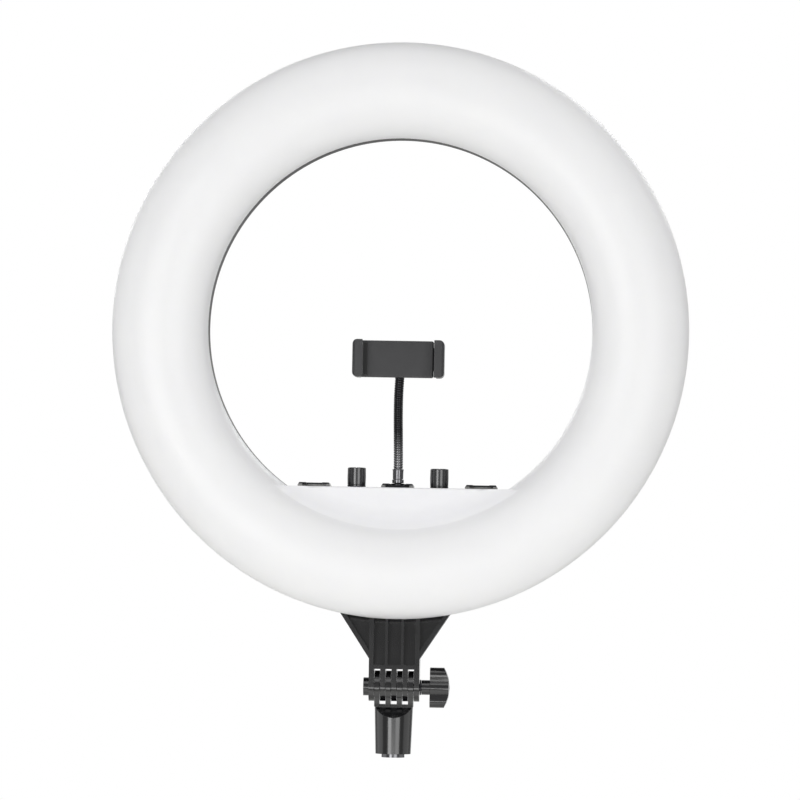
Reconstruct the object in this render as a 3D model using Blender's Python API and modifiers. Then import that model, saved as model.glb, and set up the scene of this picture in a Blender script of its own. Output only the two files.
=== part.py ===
"""Ring light head on a tilting stand socket, with a phone holder on a gooseneck.

Units are metres, +Z is up and the light faces -Y. The origin is the seat at the blind end of
the stand socket's bore.
"""

import math

import bmesh
import bpy
from mathutils import Matrix, Vector

# ---- driving dimensions ---------------------------------------------------------------
GAP = 0.0003  # between pieces that rest on each other
STEP = 0.0002  # keeps joined shapes' faces out of one plane
PAST = 0.01  # how far a cutter runs past what it cuts
CLEAR = 0.03  # reach of a cutter that goes right across the knuckle or the bracket

RING_OUTER_RADIUS = 0.225
RING_INNER_RADIUS = 0.150
RING_SIDES = 60
SEAM_Y = -0.012  # where the front diffuser meets the rear housing
DOME_DEPTH = 0.030  # how far the diffuser bulges forward of the seam
HOUSING_BACK_Y = 0.020
HOUSING_WALL = 0.0022
HOUSING_CORNER = 0.012
DIFFUSER_WALL = 0.0016
DIFFUSER_FLANGE = 0.0215  # width of the flange that carries the screw posts
FLANGE_THICKNESS = 0.002
POST_INSET = 0.018  # from the ring's outer edge to a post's centre
POST_RADIUS = 0.004
POST_HOLE = 0.0016
HOUSING_SCREWS = 6
HOUSING_SCREW_RADIUS = 0.0013
HOUSING_SCREW_HOLE = 0.0017
FIRST_SCREW_ANGLE = 123  # between two facets of the ring

SHELF_RISE = 0.0272  # shelf top above the lowest point of the ring's opening
SHELF_FRONT_Y = -0.022
SHELF_WALL = 0.0032  # thickness of the shelf's top
SHELF_SKIN = 0.0018  # thickness of the shelf's front
SHELF_FLOOR = 0.0028  # from the ring's opening up to the hollow under the shelf
SHELF_END_MARGIN = 0.0025  # blunts the two tips of the hollow under the shelf

BOARD_INSET_INNER = 0.010
BOARD_INSET_OUTER = 0.025
BOARD_THICKNESS = 0.0016
BOARD_BACK_Y = -0.0024
LED_SIZE = 0.003
LEDS_PER_ROW = 6
DRIVER_Y = 0.009
DRIVER_HALF = 0.022

SPIGOT_BORE_RADIUS = 0.00815  # takes a 16 mm stand spigot
LINER_WALL = 0.00085
LINER_PROUD = 0.0028
LINER_TOP_Z = -0.0027
SOCKET_LENGTH = 0.032  # seat down to the socket's rim
SOCKET_TOP_RADIUS = 0.01505
SOCKET_RIM_RADIUS = 0.0138
SOCKET_SHOULDER_Z = -0.004  # where the scoops in front and behind run out
SOCKET_NECK_HALF = 0.0054  # half the depth left between the scoops
SCOOP_DROP = 0.0026  # below the knuckle's web
SEAT_CHAMFER = 0.0005

PIVOT_HEIGHT = 0.020  # tilt axis above the seat
KNUCKLE_PITCH = 0.00438
KNUCKLE_LAYERS = 9
KNUCKLE_SLACK = 0.00035  # air between neighbouring fingers
UPPER_FINGER_RADIUS = 0.0112
LOWER_FINGER_RADIUS = 0.0126
UPPER_WEB_RISE = 0.0140
LOWER_WEB_DROP = 0.0134
STUD_RADIUS = 0.00295
STUD_BORE_RADIUS = 0.0032

BRACKET_DROP = 0.053  # tilt axis to the ring's lowest point
BRACKET_FLARE_HALF = 0.043
BRACKET_RIB = 0.0035
BRACKET_INNER_RIB = 0.0020
BRACKET_INNER_RIB_X = 0.0062
BRACKET_WEB = 0.0040
BRACKET_CROSS_WEB = 0.0033  # between the knuckle's slots and the pockets
BRACKET_FACE_WEB = 0.0030  # wall between the pockets in front and those behind
POCKET_LOW_DEPTH = 0.006  # of the pockets in front, at their lower end
POCKET_HIGH_DEPTH = 0.012  # and where the ring crosses them
REAR_POCKET_MARGIN = 0.004  # below the ring
BRACKET_CORNER = 0.006
BRACKET_HEEL = 0.038  # where the slope behind the knuckle meets the back plate, above the tilt axis
BRACKET_HALF_DEPTH = 0.012
BRACKET_PLATE_RISE = 0.055  # back plate above the ring's lowest point
BRACKET_SCREW_X = 0.026
BRACKET_SCREW_RISES = (0.026, 0.046)
BRACKET_SCREW_RADIUS = 0.0019
BRACKET_SCREW_HEAD = 0.0038
BRACKET_SCREW_BITE = 0.009  # into the housing behind its back face
BOSS_DEPTH = 0.008
CROSS_LENGTH = 0.0042
CROSS_WIDTH = 0.0009

TILT_KNOB_HUB_RADIUS = 0.00575
TILT_KNOB_HUB_LENGTH = 0.0065
TILT_KNOB_SPAN = 0.0313
TILT_KNOB_WIDTH = 0.0156
TILT_KNOB_LOBE_RADIUS = 0.0055
TILT_KNOB_CORE_RADIUS = 0.0068
TILT_KNOB_DOME_RADIUS = 0.030
TILT_WASHER_RADIUS = 0.0060
NUT_BOSS_RADIUS = 0.00705
NUT_BOSS_LENGTH = 0.0043
NUT_FLATS = 0.010
NUT_SINK = 0.0007  # into the bracket beyond its boss

LOCK_DROP = 0.016  # clamping screw below the seat
LOCK_TRAVEL = 0.002  # how far two turns of the screw push its pad
LOCK_STUD_RADIUS = 0.0029
LOCK_SLACK = 0.00025  # round the screw in its bores
LOCK_PAD_LENGTH = 0.0022
LOCK_LOBES = 6
LOCK_LOBE_DEPTH = 0.0011
LOCK_BOSS_RADIUS = 0.0065
LOCK_BOSS_PROUD = 0.003
LOCK_HUB_RADIUS = 0.0062
LOCK_HUB_LENGTH = 0.0011
LOCK_KNOB_RADIUS = 0.0105
LOCK_KNOB_LENGTH = 0.011

DIAL_X = 0.0323
DIAL_RADIUS = 0.0073
DIAL_HEIGHT = 0.015
POT_SIZE = 0.016
POT_DEPTH = 0.008
POT_BUSH_RADIUS = 0.0039
POT_NUT_FLATS = 0.010
POT_SHAFT_RADIUS = 0.0030
SHAFT_SLACK = 0.00015

SHOE_X = 0.0652
SHOE_WIDTH = 0.0254
SHOE_DEPTH = 0.020
SHOE_HEIGHT = 0.0032  # above the shelf
SHOE_SINK = 0.0016  # into the shelf
SHOE_CHANNEL_WIDTH = 0.0188
SHOE_CHANNEL_HEIGHT = 0.0021
SHOE_SLOT_WIDTH = 0.0128
SHOE_BACK_WALL = 0.002
SHOE_Y = -0.001
SHOE_SCREW_X = 0.0064
SHOE_SCREW_RADIUS = 0.0009
SHOE_HOLE = 0.0012

SWITCH_X = -0.034
JACK_X = 0.034
SWITCH_DROP = 0.0112  # switch and jack centres below the shelf's top
SWITCH_LENGTH = 0.019
SWITCH_HEIGHT = 0.0128
SWITCH_FRAME = 0.001
SWITCH_DEPTH = 0.0112  # body behind the housing's back face
JACK_RADIUS = 0.0039

FERRULE_HEIGHT = 0.0116
NECK_RADIUS = 0.0035
NECK_RISE = 0.0995  # shelf top to the holder's centre
NECK_END_Y = 0.0152  # the gooseneck's end behind the ball's centre
BALL_RADIUS = 0.005
BALL_STUD_RADIUS = 0.0021
BALL_Y = -0.012
CUP_RADIUS = 0.0075
LOCK_RING_RADIUS = 0.0097
LOCK_RING_FLUTES = 10

CLAMP_FRONT_Y = -0.030
CLAMP_THICKNESS = 0.010
CLAMP_HEIGHT = 0.0285
CLAMP_FACE = 0.0026  # wall in front of the jaw's tunnel
CLAMP_COVER = 0.0020  # thickness of the back cover
CLAMP_LEFT_X = -0.0294
CLAMP_RIGHT_X = 0.0269
JAW_WIDTH = 0.0063
JAW_HEIGHT = 0.029
JAW_CORNER = 0.0035
JAW_REACH = 0.014  # in front of the clamp's plate
JAW_LIP = 0.0015
JAW_GAP = 0.0022  # between the plate's end and the sliding jaw
TONGUE_HEIGHT = 0.018
TONGUE_THICKNESS = 0.0032
SPRING_TURNS = 6
SPRING_WIRE = 0.00035
SPRING_RADIUS = 0.0012
PAD_THICKNESS = 0.0012
PAD_WRAP = 0.0046

# ---- places worked out from them ------------------------------------------------------
PIVOT = Vector((0, 0, PIVOT_HEIGHT))
RING_BOTTOM_Z = PIVOT_HEIGHT + BRACKET_DROP
RING_CENTRE = Vector((0, 0, RING_BOTTOM_Z + RING_OUTER_RADIUS))
SHELF_Z = RING_CENTRE.z - RING_INNER_RADIUS + SHELF_RISE
SOCKET_RIM_Z = -SOCKET_LENGTH
KNUCKLE_HALF = KNUCKLE_PITCH * KNUCKLE_LAYERS / 2
CLAMP_CENTRE = Vector((0, CLAMP_FRONT_Y + CLAMP_THICKNESS / 2, SHELF_Z + NECK_RISE))
BALL_CENTRE = Vector((0, BALL_Y, CLAMP_CENTRE.z))

# one entry for each finish: sRGB colour, roughness, metallic
FINISHES = {
    "black_abs": ((0.17, 0.17, 0.18), 0.42, 0.0),
    "black_housing": ((0.13, 0.13, 0.14), 0.5, 0.0),
    "black_rubber": ((0.09, 0.09, 0.09), 0.8, 0.0),
    "opal_diffuser": ((0.94, 0.94, 0.95), 0.35, 0.0),
    "steel": ((0.72, 0.72, 0.74), 0.28, 1.0),
    "black_steel": ((0.16, 0.16, 0.17), 0.35, 0.8),
    "circuit_board": ((0.90, 0.90, 0.88), 0.5, 0.0),
    "green_board": ((0.10, 0.32, 0.18), 0.5, 0.0),
    "copper_lead": ((0.55, 0.08, 0.07), 0.5, 0.0),
}


# ---- building helpers -----------------------------------------------------------------
def clear_scene():
    for thing in list(bpy.data.objects):
        bpy.data.objects.remove(thing, do_unlink=True)


def new_collection(name):
    collection = bpy.data.collections.new(name)
    bpy.context.scene.collection.children.link(collection)
    return collection


def add_object(name, mesh, at):
    """A helper shape: it stays a hidden guide until finish_part makes it a piece."""
    shape = bpy.data.objects.new(name, mesh)
    shape.location = at
    shape.hide_render = True
    shape.display_type = "WIRE"
    CUTTERS.objects.link(shape)
    return shape


def mesh_of(bm, name):
    mesh = bpy.data.meshes.new(name)
    bm.to_mesh(mesh)
    bm.free()
    return mesh


AXIS_TURN = {
    "Z": Matrix.Identity(4),
    "Y": Matrix.Rotation(math.radians(-90), 4, "X"),
    "X": Matrix.Rotation(math.radians(90), 4, "Y"),
}


def blocks(name, size, centres, at=(0, 0, 0)):
    """One mesh of equal boxes, one at each centre."""
    bm = bmesh.new()
    for centre in centres:
        place = Matrix.Translation(centre) @ Matrix.Diagonal((*size, 1))
        bmesh.ops.create_cube(bm, size=1, matrix=place)
    return add_object(name, mesh_of(bm, name), at)


def block(name, low, high):
    """A box between two corners, with its origin at its centre."""
    low, high = Vector(low), Vector(high)
    return blocks(name, high - low, [(0, 0, 0)], (low + high) / 2)


def cylinder(name, radius, low, high, at=(0, 0, 0), axis="Z", sides=24, top_radius=None):
    """A cylinder or cone along an axis, from low to high along it."""
    bm = bmesh.new()
    bmesh.ops.create_cone(
        bm,
        cap_ends=True,
        segments=sides,
        radius1=radius,
        radius2=radius if top_radius is None else top_radius,
        depth=high - low,
        matrix=AXIS_TURN[axis] @ Matrix.Translation((0, 0, (low + high) / 2)),
    )
    return add_object(name, mesh_of(bm, name), at)


def turned(name, profile, at=(0, 0, 0), axis="Z", sides=32, closed=False):
    """A profile of (radius, height) turned about an axis; its outer side runs downwards."""
    mesh = bpy.data.meshes.new(name)
    edges = [(i, i + 1) for i in range(len(profile) - 1)]
    if closed:
        edges.append((len(profile) - 1, 0))
    mesh.from_pydata([(radius, 0, height) for radius, height in profile], edges, [])
    shape = add_object(name, mesh, at)
    shape.rotation_euler = AXIS_TURN[axis].to_euler()
    screw = shape.modifiers.new("Turn", "SCREW")
    screw.steps = screw.render_steps = sides
    screw.use_merge_vertices = True
    screw.merge_threshold = 0.00001
    return shape


PLANES = {
    "XY": Matrix.Identity(4),
    "XZ": Matrix.Rotation(math.radians(90), 4, "X"),
    "YZ": Matrix(((0, 0, 1, 0), (1, 0, 0, 0), (0, 1, 0, 0), (0, 0, 0, 1))),
}


def slab(name, outlines, plane, low, high, at=(0, 0, 0)):
    """Flat outlines in a plane, thickened from low to high along the third axis."""
    curve = bpy.data.curves.new(name, "CURVE")
    curve.dimensions = "2D"
    curve.fill_mode = "BOTH"
    curve.extrude = (high - low) / 2
    for outline in outlines:
        spline = curve.splines.new("POLY")
        spline.points.add(len(outline) - 1)
        for point, (across, up) in zip(spline.points, outline):
            point.co = (across, up, 0, 1)
        spline.use_cyclic_u = True
    shape = mesh_from_curve(name, curve, at)
    middle = (low + high) / 2
    lift = {"XY": (0, 0, middle), "XZ": (0, middle, 0), "YZ": (middle, 0, 0)}[plane]
    shape.data.transform(Matrix.Translation(lift) @ PLANES[plane])
    return shape


def mesh_from_curve(name, curve, at):
    """A curve made a mesh, with its caps welded on."""
    guide = bpy.data.objects.new(name + "_curve", curve)
    CUTTERS.objects.link(guide)
    bpy.context.view_layer.update()
    seen = guide.evaluated_get(bpy.context.evaluated_depsgraph_get())
    mesh = bpy.data.meshes.new_from_object(seen)
    bpy.data.objects.remove(guide, do_unlink=True)
    bm = bmesh.new()
    bm.from_mesh(mesh)
    bmesh.ops.remove_doubles(bm, verts=bm.verts, dist=0.000001)
    bmesh.ops.recalc_face_normals(bm, faces=bm.faces)
    bm.to_mesh(mesh)
    bm.free()
    return add_object(name, mesh, at)


def tube(name, points, radius, resolution=2, at=(0, 0, 0)):
    """A round wire through points."""
    curve = bpy.data.curves.new(name, "CURVE")
    curve.dimensions = "3D"
    curve.bevel_depth = radius
    curve.bevel_resolution = resolution
    curve.use_fill_caps = True
    spline = curve.splines.new("POLY")
    spline.points.add(len(points) - 1)
    for point, place in zip(spline.points, points):
        point.co = (*place, 1)
    return mesh_from_curve(name, curve, at)


def combine(shape, operation, others):
    for other in others:
        step = shape.modifiers.new(f"{operation.title()} {other.name}", "BOOLEAN")
        step.operation = operation
        step.solver = "EXACT"
        step.object = other
    return shape


def join(shape, *others):
    return combine(shape, "UNION", others)


def cut(shape, *others):
    return combine(shape, "DIFFERENCE", others)


def keep_inside(shape, *others):
    return combine(shape, "INTERSECT", others)


def round_edges(shape, width, segments=2, angle=30):
    bevel = shape.modifiers.new("Round edges", "BEVEL")
    bevel.width = width
    bevel.segments = segments
    bevel.limit_method = "ANGLE"
    bevel.angle_limit = math.radians(angle)
    return shape


def joint_empty(name, at, parent=None):
    """An empty on a joint's axis, which carries the pieces that move about it."""
    empty = bpy.data.objects.new(name, None)
    empty.empty_display_size = 0.01
    empty.location = at
    PARTS.objects.link(empty)
    set_parent(empty, parent)
    return empty


def set_parent(thing, parent):
    """Parent without moving."""
    if parent is not None:
        bpy.context.view_layer.update()
        thing.parent = parent
        thing.matrix_parent_inverse = parent.matrix_world.inverted()


def finish_part(shape, finish, parent=None, smooth_angle=35):
    """Make a helper shape a piece of the object, with its own material."""
    colour, roughness, metallic = FINISHES[finish]
    material = bpy.data.materials.new(f"{shape.name}_{finish}")
    material.use_nodes = True
    surface = material.node_tree.nodes["Principled BSDF"]
    linear = [(c / 12.92 if c < 0.04045 else ((c + 0.055) / 1.055) ** 2.4) for c in colour]
    surface.inputs["Base Color"].default_value = (*linear, 1)
    surface.inputs["Roughness"].default_value = roughness
    surface.inputs["Metallic"].default_value = metallic
    shape.data.materials.append(material)
    if shape.data.polygons:
        shape.data.shade_smooth()
        shape.data.set_sharp_from_angle(angle=math.radians(smooth_angle))
    CUTTERS.objects.unlink(shape)
    PARTS.objects.link(shape)
    shape.hide_render = False
    shape.display_type = "TEXTURED"
    set_parent(shape, parent)
    return shape


def arc(centre, radius, start, end, steps):
    """Points on an arc, from one angle to another in degrees."""
    angles = [math.radians(start + (end - start) * i / steps) for i in range(steps + 1)]
    return [(centre[0] + radius * math.cos(a), centre[1] + radius * math.sin(a)) for a in angles]


def smooth_route(points, steps):
    """A Catmull-Rom curve through the points of a route."""
    points = [Vector(p) for p in points]
    ends = [points[0] * 2 - points[1], *points, points[-1] * 2 - points[-2]]
    route = []
    for before, start, end, after in zip(ends, ends[1:], ends[2:], ends[3:]):
        for i in range(steps):
            t = i / steps
            pull = (end - before) * t + (before * 2 - start * 5 + end * 4 - after) * t**2
            route.append(start + (pull + (start * 3 - before - end * 3 + after) * t**3) / 2)
    return [*route, points[-1]]


def around_ring(radius, angle):
    """The point at a radius and an angle in degrees about the ring's axis, from +X to +Z."""
    turn = math.radians(angle)
    return RING_CENTRE + radius * Vector((math.cos(turn), 0, math.sin(turn)))


# ---- stand socket and its clamping screw ----------------------------------------------
def finger_xs(first):
    """Left and right faces of every second knuckle layer."""
    for layer in range(first, KNUCKLE_LAYERS, 2):
        left = -KNUCKLE_HALF + KNUCKLE_PITCH * layer
        right = left + KNUCKLE_PITCH
        outer_left = layer == 0
        outer_right = layer == KNUCKLE_LAYERS - 1
        yield (
            left + (0 if outer_left else KNUCKLE_SLACK / 2),
            right - (0 if outer_right else KNUCKLE_SLACK / 2),
        )


def build_socket():
    web_z = PIVOT_HEIGHT - LOWER_WEB_DROP
    scoop_z = web_z - SCOOP_DROP
    neck_half = SOCKET_NECK_HALF
    liner_radius = SPIGOT_BORE_RADIUS + LINER_WALL + GAP
    socket = cylinder(
        "stand_socket", SOCKET_RIM_RADIUS, SOCKET_RIM_Z, web_z, sides=48, top_radius=SOCKET_TOP_RADIUS
    )
    slope = (SOCKET_TOP_RADIUS - neck_half) / (scoop_z - SOCKET_SHOULDER_Z)
    for side, name in ((-1, "front"), (1, "back")):
        reach = SOCKET_TOP_RADIUS + 0.006
        outline = [
            (side * neck_half, scoop_z),
            (side * neck_half, web_z + PAST),
            (side * reach, web_z + PAST),
            (side * reach, scoop_z - (reach - neck_half) / slope),
        ]
        cut(socket, slab(f"socket_{name}_scoop", [outline], "YZ", -CLEAR, CLEAR))
    foot_z = web_z - 0.002 - PIVOT_HEIGHT
    outline = arc((0, 0), LOWER_FINGER_RADIUS, -50, 230, 24)
    outline += [(-neck_half - 0.0016, foot_z), (neck_half + 0.0016, foot_z)]
    for number, (left, right) in enumerate(finger_xs(1), 1):
        join(socket, slab(f"lower_finger_{number}", [outline], "YZ", left, right, PIVOT))
    boss = cylinder(
        "lock_boss",
        LOCK_BOSS_RADIUS,
        SOCKET_RIM_RADIUS - 0.003,
        SOCKET_TOP_RADIUS + LOCK_BOSS_PROUD,
        (0, 0, -LOCK_DROP),
        "Y",
    )
    join(socket, boss)
    lock_hole = LOCK_STUD_RADIUS + LOCK_SLACK
    bore_profile = [
        (0, 0),
        (SPIGOT_BORE_RADIUS - SEAT_CHAMFER, 0),
        (SPIGOT_BORE_RADIUS, -SEAT_CHAMFER),
        (SPIGOT_BORE_RADIUS, LINER_TOP_Z),
        (liner_radius, LINER_TOP_Z),
        (liner_radius, SOCKET_RIM_Z - PAST),
        (0, SOCKET_RIM_Z - PAST),
    ]
    cut(
        socket,
        turned("socket_bore", bore_profile, sides=32),
        cylinder("pivot_bore", STUD_BORE_RADIUS, -CLEAR, CLEAR, PIVOT, "X"),
        cylinder("lock_bore", lock_hole, 0.004, CLEAR, (0, 0, -LOCK_DROP), "Y"),
    )
    finish_part(socket, "black_abs")

    liner_top = LINER_TOP_Z - GAP
    liner_low = SOCKET_RIM_Z - LINER_PROUD
    outer = SPIGOT_BORE_RADIUS + LINER_WALL
    liner = turned(
        "socket_liner",
        [
            (outer, liner_top),
            (outer, liner_low),
            (SPIGOT_BORE_RADIUS, liner_low),
            (SPIGOT_BORE_RADIUS, liner_top),
        ],
        sides=32,
        closed=True,
    )
    cut(liner, cylinder("liner_hole", lock_hole, 0.004, CLEAR, (0, 0, -LOCK_DROP), "Y"))
    finish_part(liner, "steel")


def build_lock_screw():
    """Thumb screw at the socket's back, backed off until its tip is flush with the bore."""
    at = Vector((0, 0, -LOCK_DROP))
    tip = SPIGOT_BORE_RADIUS + STEP
    pad_back = tip + LOCK_PAD_LENGTH
    slide = joint_empty("lock_slide_axis", at)
    turn = joint_empty("lock_turn_axis", at, slide)
    pad = cylinder("lock_pad", LOCK_STUD_RADIUS - 0.0003, tip, pad_back, at, "Y", 20)
    finish_part(pad, "black_rubber", slide)
    hub_front = SOCKET_TOP_RADIUS + LOCK_BOSS_PROUD + LOCK_TRAVEL + 1.5 * GAP
    knob_front = hub_front + LOCK_HUB_LENGTH
    screw_end = knob_front + 0.007
    screw = cylinder("lock_screw", LOCK_STUD_RADIUS, pad_back + GAP, screw_end, at, "Y", 20)
    finish_part(screw, "steel", turn)
    steps = LOCK_LOBES * 8
    outline = []
    for i in range(steps):
        angle = math.tau * i / steps
        radius = LOCK_KNOB_RADIUS - LOCK_LOBE_DEPTH * (1 - math.cos(LOCK_LOBES * angle)) / 2
        outline.append((radius * math.cos(angle), radius * math.sin(angle)))
    knob = slab("lock_knob", [outline], "XZ", knob_front, knob_front + LOCK_KNOB_LENGTH, at)
    hub = cylinder("lock_knob_hub", LOCK_HUB_RADIUS, hub_front, knob_front + 0.001, at, "Y")
    hole_radius = LOCK_STUD_RADIUS + GAP
    hole = cylinder(
        "lock_knob_hole", hole_radius, knob_front - PAST, screw_end + GAP, at, "Y", 20
    )
    cut(join(knob, hub), hole)
    finish_part(knob, "black_abs", turn)


# ---- tilting bracket ------------------------------------------------------------------
def ring_corner(radius_change=0.0):
    """The rear housing's outer corner, from its back round to its side, grown by a margin."""
    centre = (RING_OUTER_RADIUS - HOUSING_CORNER, HOUSING_BACK_Y - HOUSING_CORNER)
    return arc(centre, HOUSING_CORNER + radius_change, 90, 0, 3)


def build_bracket(head):
    base_z = PIVOT_HEIGHT + UPPER_WEB_RISE
    waist_z = PIVOT_HEIGHT + 0.022
    flare_z = RING_BOTTOM_Z + 0.0045
    top_z = RING_BOTTOM_Z + BRACKET_PLATE_RISE
    plate_front = HOUSING_BACK_Y + GAP
    plate_back = plate_front + BRACKET_WEB
    half = KNUCKLE_HALF
    flare = BRACKET_FLARE_HALF
    top_half = flare - 0.007

    right_side = [(half, base_z), (half, waist_z), (flare, flare_z), (flare, flare_z + 0.012)]
    corner = BRACKET_CORNER
    right_side += arc((top_half - corner, top_z - corner), corner, 0, 90, 4)
    outline = right_side + [(-x, z) for x, z in reversed(right_side)]
    bracket = slab("tilt_bracket", [outline], "XZ", -BRACKET_HALF_DEPTH, plate_back)

    heel_z = PIVOT_HEIGHT + BRACKET_HEEL
    depth = BRACKET_HALF_DEPTH
    envelope = [
        (-depth - PAST, base_z - PAST),
        (depth, base_z - PAST),
        (depth, base_z),
        (plate_back, heel_z),
        (plate_back, top_z + PAST),
        (-depth - PAST, top_z + PAST),
    ]
    keep_inside(bracket, slab("bracket_envelope", [envelope], "YZ", -0.08, 0.08))

    rib = BRACKET_RIB
    inner = BRACKET_INNER_RIB_X
    inner_half = BRACKET_INNER_RIB / 2
    floor_z = base_z + BRACKET_CROSS_WEB
    roof_z = RING_BOTTOM_Z + 0.012
    slant = (flare - half) / (flare_z - waist_z)
    rib_across = rib * math.sqrt(1 + slant**2)
    foot_z = waist_z + rib_across / slant
    middle = inner - inner_half
    pockets = [[(-middle, floor_z), (middle, floor_z), (middle, roof_z), (-middle, roof_z)]]
    for side in (-1, 1):
        near = side * (inner + inner_half)
        far = side * (half - rib)
        pockets.append([(near, floor_z), (far, floor_z), (far, roof_z), (near, roof_z)])
        edge = side * half
        tip = side * (half + slant * (roof_z - foot_z))
        pockets.append([(edge, foot_z), (tip, roof_z), (edge, roof_z)])
    low_y = POCKET_LOW_DEPTH - depth
    high_y = POCKET_HIGH_DEPTH - depth
    front_reach = -CLEAR - PAST
    front_hollow = [
        (front_reach, floor_z - PAST),
        (low_y, floor_z - PAST),
        (low_y, floor_z),
        (high_y, roof_z),
        (high_y, roof_z + PAST),
        (front_reach, roof_z + PAST),
    ]
    rear_roof_z = RING_BOTTOM_Z - REAR_POCKET_MARGIN
    rise = (rear_roof_z - floor_z) / (roof_z - floor_z)
    web = BRACKET_FACE_WEB
    rear_high_y = low_y + (high_y - low_y) * rise + web
    rear_hollow = [
        (low_y + web, floor_z),
        (CLEAR, floor_z),
        (CLEAR, rear_roof_z),
        (rear_high_y, rear_roof_z),
    ]
    for place, hollow in (("front", front_hollow), ("rear", rear_hollow)):
        cutter = slab(f"{place}_pockets", pockets, "XZ", front_reach, plate_back + PAST)
        cut(bracket, keep_inside(cutter, slab(f"{place}_depth", [hollow], "YZ", -0.08, 0.08)))

    side_r = RING_OUTER_RADIUS - 0.06
    saddle_profile = [(side_r, HOUSING_BACK_Y + GAP), *ring_corner(GAP)]
    saddle_profile += [(RING_OUTER_RADIUS + GAP, -0.06), (side_r, -0.06)]
    cut(
        bracket,
        turned("saddle", saddle_profile, RING_CENTRE, "Y", RING_SIDES, closed=True),
    )

    radius = UPPER_FINGER_RADIUS
    outline = arc((0, 0), radius, 180, 360, 16)
    outline += [(radius, UPPER_WEB_RISE + 0.002), (-radius, UPPER_WEB_RISE + 0.002)]
    for number, (left, right) in enumerate(finger_xs(0), 1):
        join(bracket, slab(f"upper_finger_{number}", [outline], "YZ", left, right, PIVOT))
    boss_end = -half - NUT_BOSS_LENGTH
    join(bracket, cylinder("nut_boss", NUT_BOSS_RADIUS, boss_end, -half + 0.001, PIVOT, "X", 32))
    cut(
        bracket,
        cylinder("bracket_pivot_bore", STUD_BORE_RADIUS, boss_end - PAST, half + PAST, PIVOT, "X"),
        hexagon("nut_pocket", NUT_FLATS + 2 * GAP, boss_end - PAST, -half + NUT_SINK),
    )
    hole_radius = BRACKET_SCREW_RADIUS + GAP
    for number, at in enumerate(bracket_screw_places(), 1):
        hole = cylinder(f"bracket_hole_{number}", hole_radius, 0, plate_back + PAST, at, "Y", 16)
        cut(bracket, hole)
    finish_part(bracket, "black_abs", head)

    head_y = plate_back + GAP
    tip_y = HOUSING_BACK_Y - BRACKET_SCREW_BITE
    profile = [
        (0, head_y + 0.0022),
        (0.0022, head_y + 0.0020),
        (0.0036, head_y + 0.0010),
        (BRACKET_SCREW_HEAD, head_y),
        (BRACKET_SCREW_RADIUS, head_y),
        (BRACKET_SCREW_RADIUS, tip_y + 0.001),
        (0, tip_y),
    ]
    cross_at = (0, head_y + 0.0025, 0)
    for number, at in enumerate(bracket_screw_places(), 1):
        screw = turned(f"bracket_screw_{number}", profile, at, "Y", 16)
        for arm, size in (
            ("cross", (CROSS_LENGTH, 0.0026, CROSS_WIDTH)),
            ("bar", (CROSS_WIDTH, 0.0026, CROSS_LENGTH)),
        ):
            cut(screw, blocks(f"bracket_screw_{number}_{arm}", size, [cross_at], at))
        finish_part(screw, "black_steel", head)


def bracket_screw_places():
    for rise in BRACKET_SCREW_RISES:
        for side in (-1, 1):
            yield Vector((side * BRACKET_SCREW_X, 0, RING_BOTTOM_Z + rise))


def hexagon(name, flats, low, high):
    """A hexagonal bar along X about the tilt axis."""
    corner = flats / 2 / math.cos(math.radians(30))
    return slab(name, [arc((0, 0), corner, 0, 300, 5)], "YZ", low, high, PIVOT)


def build_tilt_knob(head):
    half = KNUCKLE_HALF
    boss_end = -half - NUT_BOSS_LENGTH
    slide = joint_empty("tilt_knob_slide_axis", PIVOT, head)
    turn = joint_empty("tilt_knob_turn_axis", PIVOT, slide)
    nut = hexagon("tilt_nut", NUT_FLATS, boss_end + GAP, -half + NUT_SINK - GAP)
    cut(nut, cylinder("tilt_nut_bore", STUD_BORE_RADIUS - 0.0001, boss_end - PAST, 0, PIVOT, "X"))
    finish_part(nut, "steel", head)

    washer_low = half + GAP
    washer_high = washer_low + 0.001
    washer = turned(
        "tilt_washer",
        [
            (TILT_WASHER_RADIUS, washer_high),
            (TILT_WASHER_RADIUS, washer_low),
            (STUD_BORE_RADIUS + 0.0001, washer_low),
            (STUD_BORE_RADIUS + 0.0001, washer_high),
        ],
        PIVOT,
        "X",
        24,
        closed=True,
    )
    finish_part(washer, "steel", slide)

    hub_low = washer_high + GAP
    wing_low = hub_low + TILT_KNOB_HUB_LENGTH
    wing_high = wing_low + TILT_KNOB_WIDTH
    stud_end = wing_low + 0.010
    stud = cylinder("tilt_stud", STUD_RADIUS, boss_end + 0.0008, stud_end, PIVOT, "X", 20)
    finish_part(stud, "steel", turn)

    lobe = TILT_KNOB_LOBE_RADIUS
    reach = TILT_KNOB_SPAN / 2 - lobe
    waist = lobe * 0.72
    outline = arc((0, reach), lobe, -25, 205, 10) + [(-waist, 0)]
    outline += arc((0, -reach), lobe, 155, 385, 10) + [(waist, 0)]
    knob = slab("tilt_knob", [outline], "YZ", wing_low, wing_high, PIVOT)
    hub = cylinder("tilt_knob_hub", TILT_KNOB_HUB_RADIUS, hub_low, wing_low + 0.002, PIVOT, "X", 24)
    core = cylinder("tilt_knob_core", TILT_KNOB_CORE_RADIUS, wing_low, wing_high, PIVOT, "X", 24)
    dome_radius = TILT_KNOB_DOME_RADIUS
    dome_profile = [(0, dome_radius)]
    dome_profile += [(r, h) for h, r in arc((0, 0), dome_radius, 15, 90, 8)]
    dome_profile += [(dome_radius, -0.05), (0, -0.05)]
    dome_at = PIVOT + Vector((wing_high - dome_radius, 0, 0))
    dome = turned("tilt_knob_dome", dome_profile, dome_at, "X", 32)
    hole = cylinder("tilt_knob_hole", STUD_RADIUS + GAP, 0, stud_end + GAP, PIVOT, "X", 20)
    cut(keep_inside(join(knob, core, hub), dome), hole)
    finish_part(knob, "black_abs", turn)


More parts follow.
